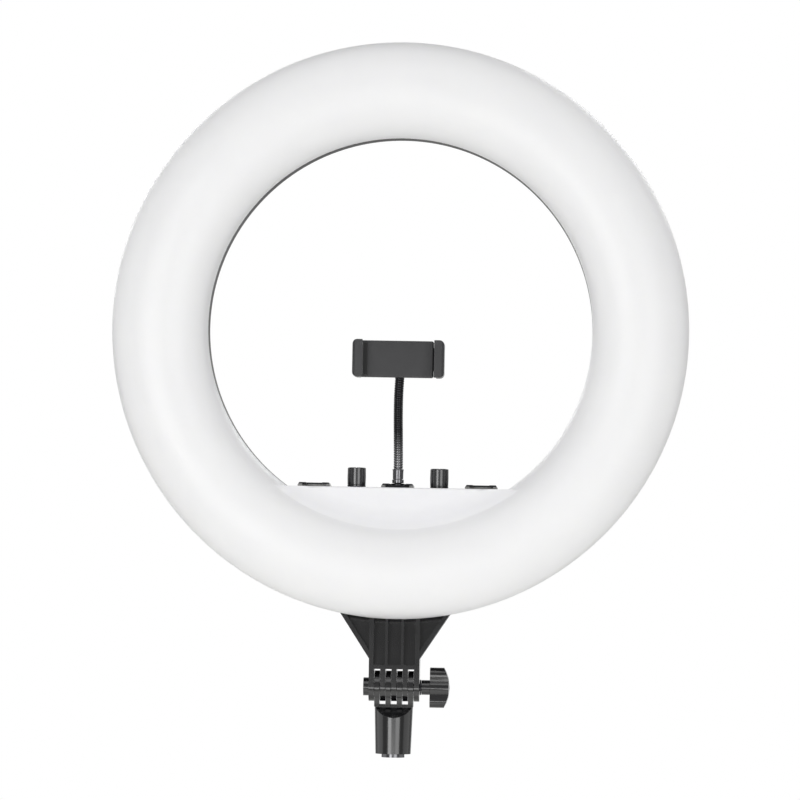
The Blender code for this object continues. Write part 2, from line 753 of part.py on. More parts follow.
# ---- ring housing, diffuser and boards ------------------------------------------------
def housing_profile():
    """Cross-section of the rear housing as (radius, y): outside first, then the hollow."""
    outer = RING_OUTER_RADIUS
    inner = RING_INNER_RADIUS
    corner = HOUSING_CORNER
    wall = HOUSING_WALL
    front = SEAM_Y + GAP
    centre_y = HOUSING_BACK_Y - corner
    outside = arc((outer - corner, centre_y), corner, 90, 0, 3)
    outside += [(outer, front), (outer - wall, front)]
    hollow = arc((outer - corner, centre_y), corner - wall, 0, 90, 3)
    hollow += arc((inner + corner, centre_y), corner - wall, 90, 180, 3)
    return outside + hollow + [(inner + wall, front), (inner, front)] + arc(
        (inner + corner, centre_y), corner, 180, 90, 3
    )


def diffuser_profile():
    """Half-elliptic dome with a constant wall, and a flange inside its outer edge."""
    middle = (RING_OUTER_RADIUS + RING_INNER_RADIUS) / 2
    half = (RING_OUTER_RADIUS - RING_INNER_RADIUS) / 2
    wall = DIFFUSER_WALL

    def dome(inset, start, end, steps):
        turns = [start + (end - start) * i / steps for i in range(steps + 1)]
        return [
            (middle + (half - inset) * math.cos(a), SEAM_Y - (DOME_DEPTH - inset) * math.sin(a))
            for a in turns
        ]

    flange_turn = math.asin(FLANGE_THICKNESS / (DOME_DEPTH - wall))
    flange_radius = RING_OUTER_RADIUS - DIFFUSER_FLANGE
    flange = [(flange_radius, SEAM_Y - FLANGE_THICKNESS), (flange_radius, SEAM_Y)]
    return dome(0, 0, math.pi, 10) + dome(wall, math.pi, flange_turn, 8) + flange


def crescent(radius, chord_z, steps=20, blunt=0.0):
    """Between a level chord and an arc about the ring's centre, as (x, z)."""
    drop = RING_CENTRE.z - chord_z
    spread = math.acos(drop / radius)
    half = radius * math.sin(spread) - blunt
    spread = math.asin(half / radius)
    angles = [spread * (2 * i / steps - 1) for i in range(steps + 1)]
    points = [(radius * math.sin(a), RING_CENTRE.z - radius * math.cos(a)) for a in angles]
    if blunt > 0:
        points += [(half, chord_z), (-half, chord_z)]
    return points


def post_places():
    for i in range(HOUSING_SCREWS):
        yield around_ring(RING_OUTER_RADIUS - POST_INSET, FIRST_SCREW_ANGLE + 360 / HOUSING_SCREWS * i)


def dial_places():
    return (("brightness", -DIAL_X), ("colour", DIAL_X))


def shoe_places():
    return (("left", -SHOE_X), ("centre", 0.0), ("right", SHOE_X))


def build_housing(head):
    inner = RING_INNER_RADIUS
    back = HOUSING_BACK_Y
    housing = turned(
        "rear_housing", housing_profile(), RING_CENTRE, "Y", RING_SIDES, closed=True
    )
    shelf_front = SHELF_FRONT_Y + SHELF_SKIN + GAP
    shelf_outline = crescent(inner + 0.001, SHELF_Z)
    nose_outline = crescent(inner - GAP - STEP, SHELF_Z - STEP)
    shelf = slab("shelf_box", [shelf_outline], "XZ", SEAM_Y + 2 * GAP, back - 2 * STEP)
    nose = slab("shelf_nose", [nose_outline], "XZ", shelf_front, SEAM_Y + 0.003)
    back_outline = crescent(inner + HOUSING_CORNER + 0.003, SHELF_Z - STEP)
    shelf_back = slab("shelf_back", [back_outline], "XZ", back - HOUSING_WALL - STEP, back - STEP)
    join(housing, join(shelf, nose), shelf_back)
    hollow_outline = crescent(inner - SHELF_FLOOR, SHELF_Z - SHELF_WALL, blunt=SHELF_END_MARGIN)
    hollow_back = back - HOUSING_WALL - 2 * STEP
    cut(housing, slab("shelf_hollow", [hollow_outline], "XZ", shelf_front - 0.02, hollow_back))

    boss_low = back - HOUSING_WALL - BOSS_DEPTH
    hole_radius = BRACKET_SCREW_RADIUS + GAP
    for number, at in enumerate(bracket_screw_places(), 1):
        join(housing, cylinder(f"bracket_boss_{number}", 0.0045, boss_low, back - 0.001, at, "Y", 16))
    for number, at in enumerate(bracket_screw_places(), 1):
        low = boss_low + 0.0008
        hole = cylinder(f"boss_hole_{number}", hole_radius, low, back + PAST, at, "Y", 16)
        cut(housing, hole)
    board_middle = (inner + BOARD_INSET_INNER + RING_OUTER_RADIUS - BOARD_INSET_OUTER) / 2
    for number in range(8):
        at = around_ring(board_middle, 45 * number + 22.5)
        low = BOARD_BACK_Y + GAP
        join(housing, cylinder(f"standoff_{number}", 0.003, low, back - 0.001, at, "Y", 12))
    for number, at in enumerate(post_places(), 1):
        hole = cylinder(f"housing_hole_{number}", HOUSING_SCREW_HOLE, 0, back + PAST, at, "Y", 12)
        cut(housing, hole)

    for name, x in dial_places():
        at = (x, SHOE_Y, SHELF_Z)
        cut(housing, cylinder(f"{name}_hole", POT_BUSH_RADIUS + GAP, -PAST, PAST, at, "Z", 24))
    for name, x in shoe_places():
        half_x = SHOE_WIDTH / 2 + GAP
        half_y = SHOE_DEPTH / 2 + GAP
        low = (x - half_x, SHOE_Y - half_y, SHELF_Z - SHOE_SINK - GAP)
        high = (x + half_x, SHOE_Y + half_y, SHELF_Z + PAST)
        cut(housing, block(f"{name}_shoe_pocket", low, high))
        for side in (-1, 1):
            at = (x + side * SHOE_SCREW_X, SHOE_Y, SHELF_Z)
            hole = cylinder(f"{name}_shoe_hole_{side}", SHOE_HOLE, -0.0062, PAST, at, "Z", 12)
            cut(housing, hole)
    centre_z = SHELF_Z - SWITCH_DROP
    half_x = SWITCH_LENGTH / 2 + GAP
    half_z = SWITCH_HEIGHT / 2 + GAP
    jack_at = (JACK_X, 0, centre_z)
    cut(
        housing,
        block(
            "switch_window",
            (SWITCH_X - half_x, back - SWITCH_DEPTH - GAP, centre_z - half_z),
            (SWITCH_X + half_x, back + PAST, centre_z + half_z),
        ),
        cylinder("jack_window", JACK_RADIUS + GAP, back - PAST, back + PAST, jack_at, "Y", 24),
        cylinder("lead_hole", 0.0034, -PAST, PAST, (0, 0.0058, RING_CENTRE.z - inner - 0.001), "Z", 12),
    )
    finish_part(housing, "black_housing", head)

    head_y = back + GAP
    tip_y = back - HOUSING_WALL - 0.009
    profile = [
        (0, head_y + 0.0016),
        (0.0018, head_y + 0.0014),
        (0.0027, head_y),
        (HOUSING_SCREW_RADIUS, head_y),
        (HOUSING_SCREW_RADIUS, tip_y + 0.001),
        (0, tip_y),
    ]
    for number, at in enumerate(post_places(), 1):
        finish_part(turned(f"housing_screw_{number}", profile, at, "Y", 12), "black_steel", head)


def build_diffuser(head):
    diffuser = turned(
        "front_diffuser", diffuser_profile(), RING_CENTRE, "Y", RING_SIDES, closed=True
    )
    front = slab(
        "shelf_front",
        [crescent(RING_INNER_RADIUS + 0.0026, SHELF_Z, 28)],
        "XZ",
        SHELF_FRONT_Y,
        SHELF_FRONT_Y + SHELF_SKIN,
    )
    join(diffuser, front)
    post_low = SEAM_Y - FLANGE_THICKNESS + 0.0005
    post_high = HOUSING_BACK_Y - HOUSING_WALL - GAP
    low = post_high - 0.010
    high = post_high + PAST
    for number, at in enumerate(post_places(), 1):
        join(diffuser, cylinder(f"post_{number}", POST_RADIUS, post_low, post_high, at, "Y", 12))
    for number, at in enumerate(post_places(), 1):
        cut(diffuser, cylinder(f"post_hole_{number}", POST_HOLE, low, high, at, "Y", 12))
    finish_part(diffuser, "opal_diffuser", head)


def build_boards(head):
    inner = RING_INNER_RADIUS + BOARD_INSET_INNER
    outer = RING_OUTER_RADIUS - BOARD_INSET_OUTER
    margin = 1.0  # degrees left at each end of a quarter
    front = BOARD_BACK_Y - BOARD_THICKNESS
    for quarter in range(4):
        start = 90 * quarter + margin
        end = 90 * (quarter + 1) - margin
        outline = arc((0, 0), outer, start, end, 12) + arc((0, 0), inner, end, start, 12)
        board = slab(f"led_board_{quarter + 1}", [outline], "XZ", front, BOARD_BACK_Y, RING_CENTRE)
        centres = []
        for row in (0.3, 0.7):
            for i in range(LEDS_PER_ROW):
                angle = math.radians(start + (end - start) * (i + 0.5) / LEDS_PER_ROW)
                radius = inner + (outer - inner) * row
                centres.append((radius * math.cos(angle), front - 0.0003, radius * math.sin(angle)))
        leds = blocks(f"leds_{quarter + 1}", (LED_SIZE, 0.0010, LED_SIZE), centres, RING_CENTRE)
        finish_part(join(board, leds), "circuit_board", head)

    low_z = RING_CENTRE.z - RING_INNER_RADIUS + 0.005
    high_z = SHELF_Z - SHELF_WALL - 0.0035
    driver_y = DRIVER_Y
    board_back = driver_y + BOARD_THICKNESS
    driver = block("driver_board", (-DRIVER_HALF, driver_y, low_z), (DRIVER_HALF, board_back, high_z))
    middle = (low_z + high_z) / 2
    rooted = driver_y + GAP  # each component runs this far into the board
    coil_low = (-0.017, driver_y - 0.005, middle - 0.004)
    coil = block("driver_coil", coil_low, (-0.009, rooted, middle + 0.004))
    can = cylinder("driver_can", 0.004, driver_y - 0.009, rooted, (0.011, 0, middle), "Y", 20)
    chip_low = (-0.004, driver_y - 0.0016, middle - 0.003)
    chip = block("driver_chip", chip_low, (0.004, rooted, middle + 0.003))
    finish_part(join(driver, coil, can, chip), "green_board", head)

    board_top = RING_CENTRE.z - inner - 0.004
    route = [
        (0, driver_y - 0.0014, low_z + 0.001),
        (0, 0.0055, low_z - 0.0035),
        (0, 0.0040, low_z - 0.009),
        (0.0015, 0.0025, board_top + 0.002),
        (0.0040, 0.0008, board_top - 0.004),
        (0.0048, BOARD_BACK_Y + 0.0018, board_top - 0.010),
    ]
    finish_part(tube("led_lead", smooth_route(route, 3), 0.0010), "copper_lead", head)


# ---- controls on the shelf and at its back --------------------------------------------
def build_dial(name, x, head):
    at = Vector((x, SHOE_Y, SHELF_Z))
    turn = joint_empty(f"{name}_axis", at, head)
    body_high = -SHELF_WALL - GAP
    body_low = body_high - POT_DEPTH
    half = POT_SIZE / 2
    bush_high = 0.0024
    shaft_low = body_high - 0.004
    pot_size = (POT_SIZE, POT_SIZE, POT_DEPTH)
    pot = blocks(f"{name}_pot", pot_size, [(0, 0, (body_low + body_high) / 2)], at)
    lug_places = [(i * 0.005, -half - 0.001, body_low + 0.0015) for i in (-1, 0, 1)]
    lugs = blocks(f"{name}_lugs", (0.0016, 0.003, 0.0008), lug_places, at)
    bush = cylinder(f"{name}_bush", POT_BUSH_RADIUS, body_high - 0.001, bush_high, at, "Z", 24)
    bore_radius = POT_SHAFT_RADIUS + SHAFT_SLACK
    bore = cylinder(f"{name}_pot_bore", bore_radius, shaft_low - GAP, PAST, at, "Z", 24)
    finish_part(cut(join(pot, lugs, bush), bore), "steel", head)

    nut_radius = POT_NUT_FLATS / 2 / math.cos(math.radians(30))
    nut = cylinder(f"{name}_nut", nut_radius, GAP, GAP + 0.0018, at, "Z", 6)
    cut(nut, cylinder(f"{name}_nut_bore", POT_BUSH_RADIUS + STEP, -PAST, PAST, at, "Z", 24))
    finish_part(nut, "steel", head)

    base = 0.0004
    top = base + DIAL_HEIGHT
    bore_top = top - 0.003
    shaft = cylinder(f"{name}_shaft", POT_SHAFT_RADIUS, shaft_low, bore_top - GAP, at, "Z", 24)
    finish_part(shaft, "steel", turn)
    edge = DIAL_RADIUS - 0.0003
    profile = [
        (0, top),
        (edge - 0.0006, top),
        (edge, top - 0.0006),
        (DIAL_RADIUS, (base + top) / 2),
        (edge, base + 0.0005),
        (edge - 0.0004, base),
        (nut_radius + 0.0004, base),
        (nut_radius + 0.0004, base + 0.0030),
        (POT_SHAFT_RADIUS + GAP, base + 0.0030),
        (POT_SHAFT_RADIUS + GAP, bore_top),
        (0, bore_top),
    ]
    finish_part(turned(f"{name}_knob", profile, at, "Z", 32), "black_abs", turn)


def build_shoe(name, x, head):
    at = Vector((x, SHOE_Y, SHELF_Z))
    half = SHOE_WIDTH / 2
    half_y = SHOE_DEPTH / 2
    shoulder = 0.0013
    outline = [
        (-half, -SHOE_SINK),
        (half, -SHOE_SINK),
        (half, shoulder),
        (half - shoulder, SHOE_HEIGHT),
        (-half + shoulder, SHOE_HEIGHT),
        (-half, shoulder),
    ]
    shoe = slab(f"{name}_shoe", [outline], "XZ", -half_y, half_y, at)
    channel_back = half_y - SHOE_BACK_WALL
    for part_name, width, low, high in (
        ("channel", SHOE_CHANNEL_WIDTH, 0.0, SHOE_CHANNEL_HEIGHT),
        ("slot", SHOE_SLOT_WIDTH, 0.0005, SHOE_HEIGHT + 0.001),
    ):
        size = (width, channel_back + half_y + PAST, high - low)
        centre = (0, (channel_back - half_y - PAST) / 2, (low + high) / 2)
        cut(shoe, blocks(f"{name}_shoe_{part_name}", size, [centre], at))
    for side in (-1, 1):
        place = at + Vector((side * SHOE_SCREW_X, 0, 0))
        cut(
            shoe,
            cylinder(f"{name}_shoe_sink_{side}", 0.0021, -0.0010, 0.0005, place, "Z", 12),
            cylinder(f"{name}_shoe_bore_{side}", SHOE_HOLE, -PAST, 0.0005, place, "Z", 12),
        )
    finish_part(shoe, "black_steel", head)
    profile = [
        (0, -0.0001),
        (0.0018, -0.0001),
        (0.0018, -0.0007),
        (SHOE_SCREW_RADIUS, -0.0007),
        (SHOE_SCREW_RADIUS, -0.0050),
        (0, -0.0055),
    ]
    for number, side in enumerate((-1, 1), 1):
        place = at + Vector((side * SHOE_SCREW_X, 0, 0))
        finish_part(turned(f"{name}_shoe_screw_{number}", profile, place, "Z", 12), "steel", head)


def build_power_switch(head):
    back = HOUSING_BACK_Y
    at = Vector((SWITCH_X, 0, SHELF_Z - SWITCH_DROP))
    length = SWITCH_LENGTH
    height = SWITCH_HEIGHT
    body = blocks("switch_body", (length, 0.012, height), [(0, back + GAP - 0.0055, 0)], at)
    flange_size = (length + 2 * SWITCH_FRAME, 0.0016, height + 2 * SWITCH_FRAME)
    flange = blocks("switch_flange", flange_size, [(0, back + GAP + 0.0008, 0)], at)
    pocket_floor = back - 0.0075
    window = (length - 0.0016, 0.03, height - 0.0020)
    pocket = blocks("switch_pocket", window, [(0, pocket_floor + 0.015, 0)], at)
    finish_part(cut(join(body, flange), pocket), "black_abs", head)

    pivot = at + Vector((0, back - 0.0025, 0))
    turn = joint_empty("switch_axis", pivot, head)
    reach = length / 2 - 0.0014
    tilt = math.radians(8)
    wings = [
        (-reach, 0.0010),
        (-reach + 0.001, -0.0012),
        (0, -0.0030),
        (reach - 0.001, -0.0012),
        (reach, 0.0010),
        (reach, 0.0042),
        (0, 0.0026),
        (-reach, 0.0042),
    ]
    cos = math.cos(tilt)
    sin = math.sin(tilt)
    outline = [(x * cos - y * sin, x * sin + y * cos) for x, y in wings]
    half = height / 2 - 0.0014
    rocker = slab("switch_rocker", [outline], "XY", -half, half, pivot)
    finish_part(rocker, "black_abs", turn)


def build_jack(head):
    back = HOUSING_BACK_Y
    at = Vector((JACK_X, 0, SHELF_Z - SWITCH_DROP))
    flange = [
        (0, back + 0.0016),
        (0.0050, back + 0.0016),
        (0.0054, back + 0.0012),
        (0.0054, back + GAP),
        (JACK_RADIUS, back + GAP),
        (JACK_RADIUS, back - 0.0035),
        (0, back - 0.0035),
    ]
    jack = turned("dc_jack", flange, at, "Y", 24)
    body = blocks("jack_body", (0.0090, 0.0100, 0.0090), [(0, back - 0.0080, 0)], at)
    hole = cylinder("jack_hole", 0.00275, back - 0.0095, back + PAST, at, "Y", 20)
    pin = cylinder("jack_pin", 0.0010, back - 0.0100, back - 0.0002, at, "Y", 10)
    join(cut(join(jack, body), hole), pin)
    finish_part(jack, "black_abs", head)


# ---- phone holder ---------------------------------------------------------------------
def neck_route():
    """The gooseneck's centre line, from the ferrule on its foot up to the ball stud."""
    foot = Vector((0, SHOE_Y, SHELF_Z))
    top = BALL_CENTRE
    rise = top.z - foot.z
    return [
        foot + Vector((0, 0, 0.0120)),
        foot + Vector((0, 0.0004, rise * 0.22)),
        foot + Vector((-0.0005, 0.0045, rise * 0.40)),
        foot + Vector((-0.0011, 0.0110, rise * 0.58)),
        foot + Vector((-0.0012, 0.0160, rise * 0.74)),
        foot + Vector((-0.0006, 0.0165, rise * 0.88)),
        top + Vector((-0.0003, 0.0245, -0.0045)),
        top + Vector((0, 0.0195, -0.0007)),
        top + Vector((0, NECK_END_Y, 0)),
    ]


def build_holder(head):
    at = Vector((0, SHOE_Y, SHELF_Z))
    slide = joint_empty("holder_slide_axis", at, head)
    plate_half = SHOE_CHANNEL_WIDTH / 2 - GAP
    channel_back = SHOE_DEPTH / 2 - SHOE_BACK_WALL - GAP
    plate_top = SHOE_CHANNEL_HEIGHT - GAP
    depth = 0.0170
    foot = blocks(
        "holder_foot",
        (2 * plate_half, depth, plate_top - GAP),
        [(0, channel_back - depth / 2, (plate_top + GAP) / 2)],
        at,
    )
    stem_top = SHOE_HEIGHT + 0.0035
    stem = cylinder("foot_stem", 0.0028, GAP + 0.0005, stem_top, at, "Z", 20)
    collar = cylinder("foot_collar", 0.0052, GAP + 0.0005, SHOE_HEIGHT + 0.0002, at, "Z", 24)
    finish_part(join(foot, collar, stem), "black_steel", slide)

    ferrule_low = SHOE_HEIGHT + 0.0005
    ferrule_high = SHOE_HEIGHT + FERRULE_HEIGHT
    ferrule = turned(
        "lower_ferrule",
        [
            (0.0042, ferrule_high),
            (0.0043, ferrule_low + 0.004),
            (0.0046, ferrule_low),
            (0.0031, ferrule_low),
            (0.0031, stem_top + GAP),
            (NECK_RADIUS + GAP, stem_top + GAP),
            (NECK_RADIUS + GAP, ferrule_high),
        ],
        at,
        "Z",
        24,
        closed=True,
    )
    finish_part(ferrule, "steel", slide)

    route = smooth_route(neck_route(), 4)
    split = len(route) // 2
    lower = tube("gooseneck_lower", route[:split], NECK_RADIUS, 3)
    finish_part(lower, "black_steel", slide)

    fore_aft_at = route[split // 2]
    fore_aft = joint_empty("neck_fore_aft_axis", fore_aft_at, slide)
    break_gap = (route[split] - route[split - 1]).normalized() * GAP
    upper_route = [route[split - 1] + break_gap, *route[split:]]
    upper = tube("gooseneck_upper", upper_route, NECK_RADIUS, 3)
    finish_part(upper, "black_steel", fore_aft)

    sideways = joint_empty("neck_sideways_axis", route[split + 2], fore_aft)
    build_ball_and_clamp(sideways)


def build_ball_and_clamp(neck_end):
    ball_at = BALL_CENTRE
    stud_radius = BALL_STUD_RADIUS
    neck_y = NECK_END_Y
    ball_top = 0.0044
    ball = [(r, h) for h, r in arc((0, 0), BALL_RADIUS, 0, 155, 10) if h < ball_top and r > 0]
    profile = [
        (0, neck_y - GAP),
        (NECK_RADIUS, neck_y - GAP),
        (0.0043, neck_y - 0.0008),
        (0.0043, 0.0098),
        (stud_radius, 0.0088),
        (stud_radius, ball_top),
        *ball,
        (0, -BALL_RADIUS),
    ]
    stud = turned("ball_stud", profile, ball_at, "Y", 24)
    finish_part(stud, "steel", neck_end)

    tilt = joint_empty("ball_tilt_axis", ball_at, neck_end)
    lip_low = 0.0023
    lip_high = 0.0040
    ring_low = -0.0035
    ring = turned(
        "lock_ring",
        [
            (LOCK_RING_RADIUS - 0.0008, lip_high),
            (LOCK_RING_RADIUS, lip_high - 0.0008),
            (LOCK_RING_RADIUS, ring_low),
            (CUP_RADIUS + GAP, ring_low),
            (CUP_RADIUS + GAP, lip_low),
            (BALL_RADIUS - 0.0003, lip_low),
            (BALL_RADIUS - 0.0003, lip_high),
        ],
        ball_at,
        "Y",
        32,
        closed=True,
    )
    for number in range(LOCK_RING_FLUTES):
        angle = math.tau * number / LOCK_RING_FLUTES
        offset = Vector((math.cos(angle), 0, math.sin(angle))) * (LOCK_RING_RADIUS + 0.0006)
        cut(ring, cylinder(f"ring_flute_{number}", 0.0012, -PAST, PAST, ball_at + offset, "Y", 10))
    finish_part(ring, "black_abs", tilt)

    roll = joint_empty("clamp_roll_axis", ball_at, tilt)
    build_clamp(roll)


def build_clamp(roll):
    centre = CLAMP_CENTRE
    front = CLAMP_FRONT_Y
    back = front + CLAMP_THICKNESS
    half = CLAMP_HEIGHT / 2
    left = CLAMP_LEFT_X
    right = CLAMP_RIGHT_X
    low_z = centre.z - half
    high_z = centre.z + half
    tunnel_half = TONGUE_HEIGHT / 2 + GAP
    tunnel_front = front + CLAMP_FACE
    cover_front = back - CLAMP_COVER

    body = block("clamp_body", (left - 0.001, front, low_z), (right, cover_front - GAP, high_z))
    round_edges(body, 0.0012)
    jaw = jaw_shape("fixed_jaw", -1, left)
    tunnel_left = left + 0.003
    tunnel_low = (tunnel_left, tunnel_front, centre.z - tunnel_half)
    tunnel_high = (right + PAST, back, centre.z + tunnel_half)
    cut(join(body, jaw), block("clamp_tunnel", tunnel_low, tunnel_high))
    finish_part(body, "black_abs", roll)

    inset = 0.0006
    plate_low = (left + 0.0005, cover_front, low_z + inset)
    plate = block("clamp_back", plate_low, (right, back, high_z - inset))
    round_edges(plate, 0.0005)
    cup_high = BALL_CENTRE.y + 0.0019
    cup = cylinder("ball_cup", CUP_RADIUS, back - 0.0008, cup_high, (0, 0, centre.z), "Y", 32)
    seat = cylinder("cup_bore", BALL_RADIUS + GAP, back + 0.0008, back + 0.05, (0, 0, centre.z), "Y", 24)
    cut(join(plate, cup), seat)
    finish_part(plate, "black_abs", roll)

    build_pad("fixed_jaw_pad", -1, left, wrap=True, parent=roll)

    slide = joint_empty("jaw_slide_axis", centre, roll)
    cap_x = right + JAW_GAP
    sliding = jaw_shape("sliding_jaw", 1, cap_x)
    tongue_front = tunnel_front + GAP
    tongue_left = -0.008
    tongue = block(
        "jaw_tongue",
        (tongue_left, tongue_front, centre.z - TONGUE_HEIGHT / 2),
        (cap_x + 0.002, tongue_front + TONGUE_THICKNESS, centre.z + TONGUE_HEIGHT / 2),
    )
    join(sliding, tongue)
    finish_part(sliding, "black_abs", slide)
    build_pad("sliding_jaw_pad", 1, cap_x, wrap=False, parent=slide)

    spring_y = tongue_front + TONGUE_THICKNESS / 2
    wire = SPRING_WIRE
    start = tunnel_left + GAP + wire
    length = tongue_left - GAP - wire - start
    per_turn = 9
    steps = SPRING_TURNS * per_turn
    points = []
    for i in range(steps + 1):
        angle = math.tau * i / per_turn
        y = spring_y + SPRING_RADIUS * math.cos(angle)
        z = centre.z + SPRING_RADIUS * math.sin(angle)
        points.append((start + length * i / steps, y, z))
    finish_part(tube("clamp_spring", points, wire, 1), "steel", roll)


def jaw_shape(name, side, inner_x):
    """A jaw seen from above as an outline: cap, arm and the lip that hooks over a phone."""
    front = CLAMP_FRONT_Y - JAW_REACH
    back = CLAMP_FRONT_Y + CLAMP_THICKNESS - CLAMP_COVER - GAP
    outer_x = inner_x + side * JAW_WIDTH
    lip_x = inner_x - side * JAW_LIP
    outline = [
        (inner_x, back),
        (outer_x, back),
        (outer_x, front + 0.0025),
        (outer_x - side * 0.0020, front),
        (lip_x, front),
        (lip_x, front + 0.0022),
        (inner_x, front + 0.0032),
    ]
    half = JAW_HEIGHT / 2
    jaw = slab(name, [outline], "XY", CLAMP_CENTRE.z - half, CLAMP_CENTRE.z + half)
    corner = JAW_CORNER
    past_lip = lip_x - side * 0.002
    over = half + 0.001  # clear of the jaw's flat top and bottom
    corner_arc = arc((0, 0), corner, -90, 0, 4)
    lower = [(outer_x - side * (corner - x), z - half + corner) for x, z in corner_arc]
    upper = [(x, -z) for x, z in reversed(lower)]
    rounded = [*lower, *upper, (past_lip, over), (past_lip, -over)]
    place = (0, 0, CLAMP_CENTRE.z)
    corners = slab(f"{name}_corners", [rounded], "XZ", front - PAST, back + PAST, place)
    return keep_inside(jaw, corners)


def build_pad(name, side, inner_x, wrap, parent):
    """Rubber lining of a jaw; the fixed one also wraps onto the clamp's plate."""
    front = CLAMP_FRONT_Y - JAW_REACH + 0.0036
    plate = CLAMP_FRONT_Y - GAP
    near = inner_x - side * GAP
    if wrap:
        outline = [
            (near, front),
            (near, plate),
            (near - side * PAD_WRAP, plate),
            (near - side * PAD_WRAP, plate - PAD_THICKNESS),
            (near - side * PAD_THICKNESS, plate - PAD_THICKNESS),
            (near - side * PAD_THICKNESS, front),
        ]
    else:
        far = near - side * PAD_THICKNESS
        outline = [(near, front), (near, plate), (far, plate), (far, front)]
    half = JAW_HEIGHT / 2 - 0.0020
    pad = slab(name, [outline], "XY", CLAMP_CENTRE.z - half, CLAMP_CENTRE.z + half)
    finish_part(pad, "black_rubber", parent)


# ---- the whole light ------------------------------------------------------------------
clear_scene()
PARTS = new_collection("ring_light")
CUTTERS = new_collection("ring_light_cutters")

build_socket()
build_lock_screw()
HEAD = joint_empty("tilt_axis", PIVOT)
build_bracket(HEAD)
build_tilt_knob(HEAD)
build_housing(HEAD)
build_diffuser(HEAD)
build_boards(HEAD)
for DIAL_NAME, DIAL_PLACE in dial_places():
    build_dial(DIAL_NAME, DIAL_PLACE, HEAD)
for SHOE_NAME, SHOE_PLACE in shoe_places():
    build_shoe(SHOE_NAME, SHOE_PLACE, HEAD)
build_power_switch(HEAD)
build_jack(HEAD)
build_holder(HEAD)
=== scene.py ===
import math

import bpy
from mathutils import Matrix, Vector


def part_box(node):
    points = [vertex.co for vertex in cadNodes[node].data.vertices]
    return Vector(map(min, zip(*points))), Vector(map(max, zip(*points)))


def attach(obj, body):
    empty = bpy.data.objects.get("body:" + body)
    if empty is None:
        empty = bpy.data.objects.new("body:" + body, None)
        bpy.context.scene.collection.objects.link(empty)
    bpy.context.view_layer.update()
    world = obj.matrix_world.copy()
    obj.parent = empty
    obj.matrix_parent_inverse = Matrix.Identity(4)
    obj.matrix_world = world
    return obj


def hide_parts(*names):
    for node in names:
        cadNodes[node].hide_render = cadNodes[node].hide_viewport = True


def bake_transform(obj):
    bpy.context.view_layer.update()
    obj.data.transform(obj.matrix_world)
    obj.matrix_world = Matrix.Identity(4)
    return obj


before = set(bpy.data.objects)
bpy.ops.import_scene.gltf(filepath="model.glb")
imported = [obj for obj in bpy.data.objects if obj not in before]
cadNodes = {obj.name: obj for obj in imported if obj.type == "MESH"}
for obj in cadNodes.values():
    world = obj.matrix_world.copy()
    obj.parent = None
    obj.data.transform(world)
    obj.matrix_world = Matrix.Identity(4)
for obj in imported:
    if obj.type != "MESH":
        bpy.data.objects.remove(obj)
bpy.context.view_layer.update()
print("stage: frame loaded")

studio = {
    "aim": (0.0004, 0.0, 0.2440),
    "distance": 3.5,
    "lens": 201.4,
    "fromRight": 2.0,  # degrees off the ring's axis
    "fromBelow": 2.0,
    "roll": 1.05,
    "clipEnd": 60,
    "floorHeight": -1.10,  # a light stand's height below the socket
    "floorSize": 16,
    "floorColour": "#EDEDEA",
    "backdropColour": "#000000",  # it shines by itself, so it stays an even white
    "backdropDistance": 6.0,
    "backdropSize": 6.0,
    "backdropMiddle": 0.2,
    "backdropShine": 1.0,
    "stageRoughness": 0.9,
    "worldStrength": 0.31,
}


def linearColour(hexValue):
    channels = [int(hexValue[i:i + 2], 16) / 255 for i in (1, 3, 5)]
    return [c / 12.92 if c <= 0.04045 else ((c + 0.055) / 1.055) ** 2.4 for c in channels] + [1.0]


def addNode(tree, kind, settings=None, links=None):
    node = tree.nodes.new(kind)
    for key, value in (settings or {}).items():
        if isinstance(key, int) or key in node.inputs:
            node.inputs[key].default_value = value
        else:
            setattr(node, key, value)
    for key, source in (links or {}).items():
        tree.links.new(source, node.inputs[key])
    return node


def deselectAll():
    if bpy.context.object and bpy.context.object.mode != "OBJECT":
        bpy.ops.object.mode_set(mode="OBJECT")
    bpy.ops.object.select_all(action="DESELECT")


def makeActive(piece):
    deselectAll()
    piece.select_set(True)
    bpy.context.view_layer.objects.active = piece


def applyPlace(piece):
    makeActive(piece)
    bpy.ops.object.transform_apply(location=True, rotation=True, scale=True)


def nameActive(name):
    piece = bpy.context.object
    piece.name = name
    piece.data.name = name
    return piece


def pickParts(piece, domain, test):
    # selects the edges or faces that the test accepts, and leaves the piece in edit mode
    makeActive(piece)
    bpy.ops.object.mode_set(mode="EDIT")
    bpy.ops.mesh.select_mode(type="EDGE" if domain == "edges" else "FACE")
    bpy.ops.mesh.select_all(action="DESELECT")
    bpy.ops.object.mode_set(mode="OBJECT")
    mesh = piece.data
    for part in getattr(mesh, domain):
        if domain == "edges":
            first, last = (mesh.vertices[i].co for i in part.vertices)
            part.select = test((first + last) / 2, (last - first).normalized())
        else:
            part.select = test(part.center, part.normal)
    bpy.ops.object.mode_set(mode="EDIT")


def leaveEditMode():
    bpy.ops.object.mode_set(mode="OBJECT")


def useModifier(piece, kind, **settings):
    makeActive(piece)
    modifier = piece.modifiers.new(kind.lower(), kind)
    for key, value in settings.items():
        setattr(modifier, key, value)
    bpy.ops.object.modifier_apply(modifier=modifier.name)


def turnNormalsOut(piece):
    makeActive(piece)
    bpy.ops.object.mode_set(mode="EDIT")
    bpy.ops.mesh.select_all(action="SELECT")
    bpy.ops.mesh.remove_doubles(threshold=0.000002)
    bpy.ops.mesh.normals_make_consistent(inside=False)
    leaveEditMode()


def combine(piece, others, operation):
    for other in others:
        useModifier(piece, "BOOLEAN", operation=operation, object=other, solver="EXACT")
        bpy.data.objects.remove(other)
    return piece


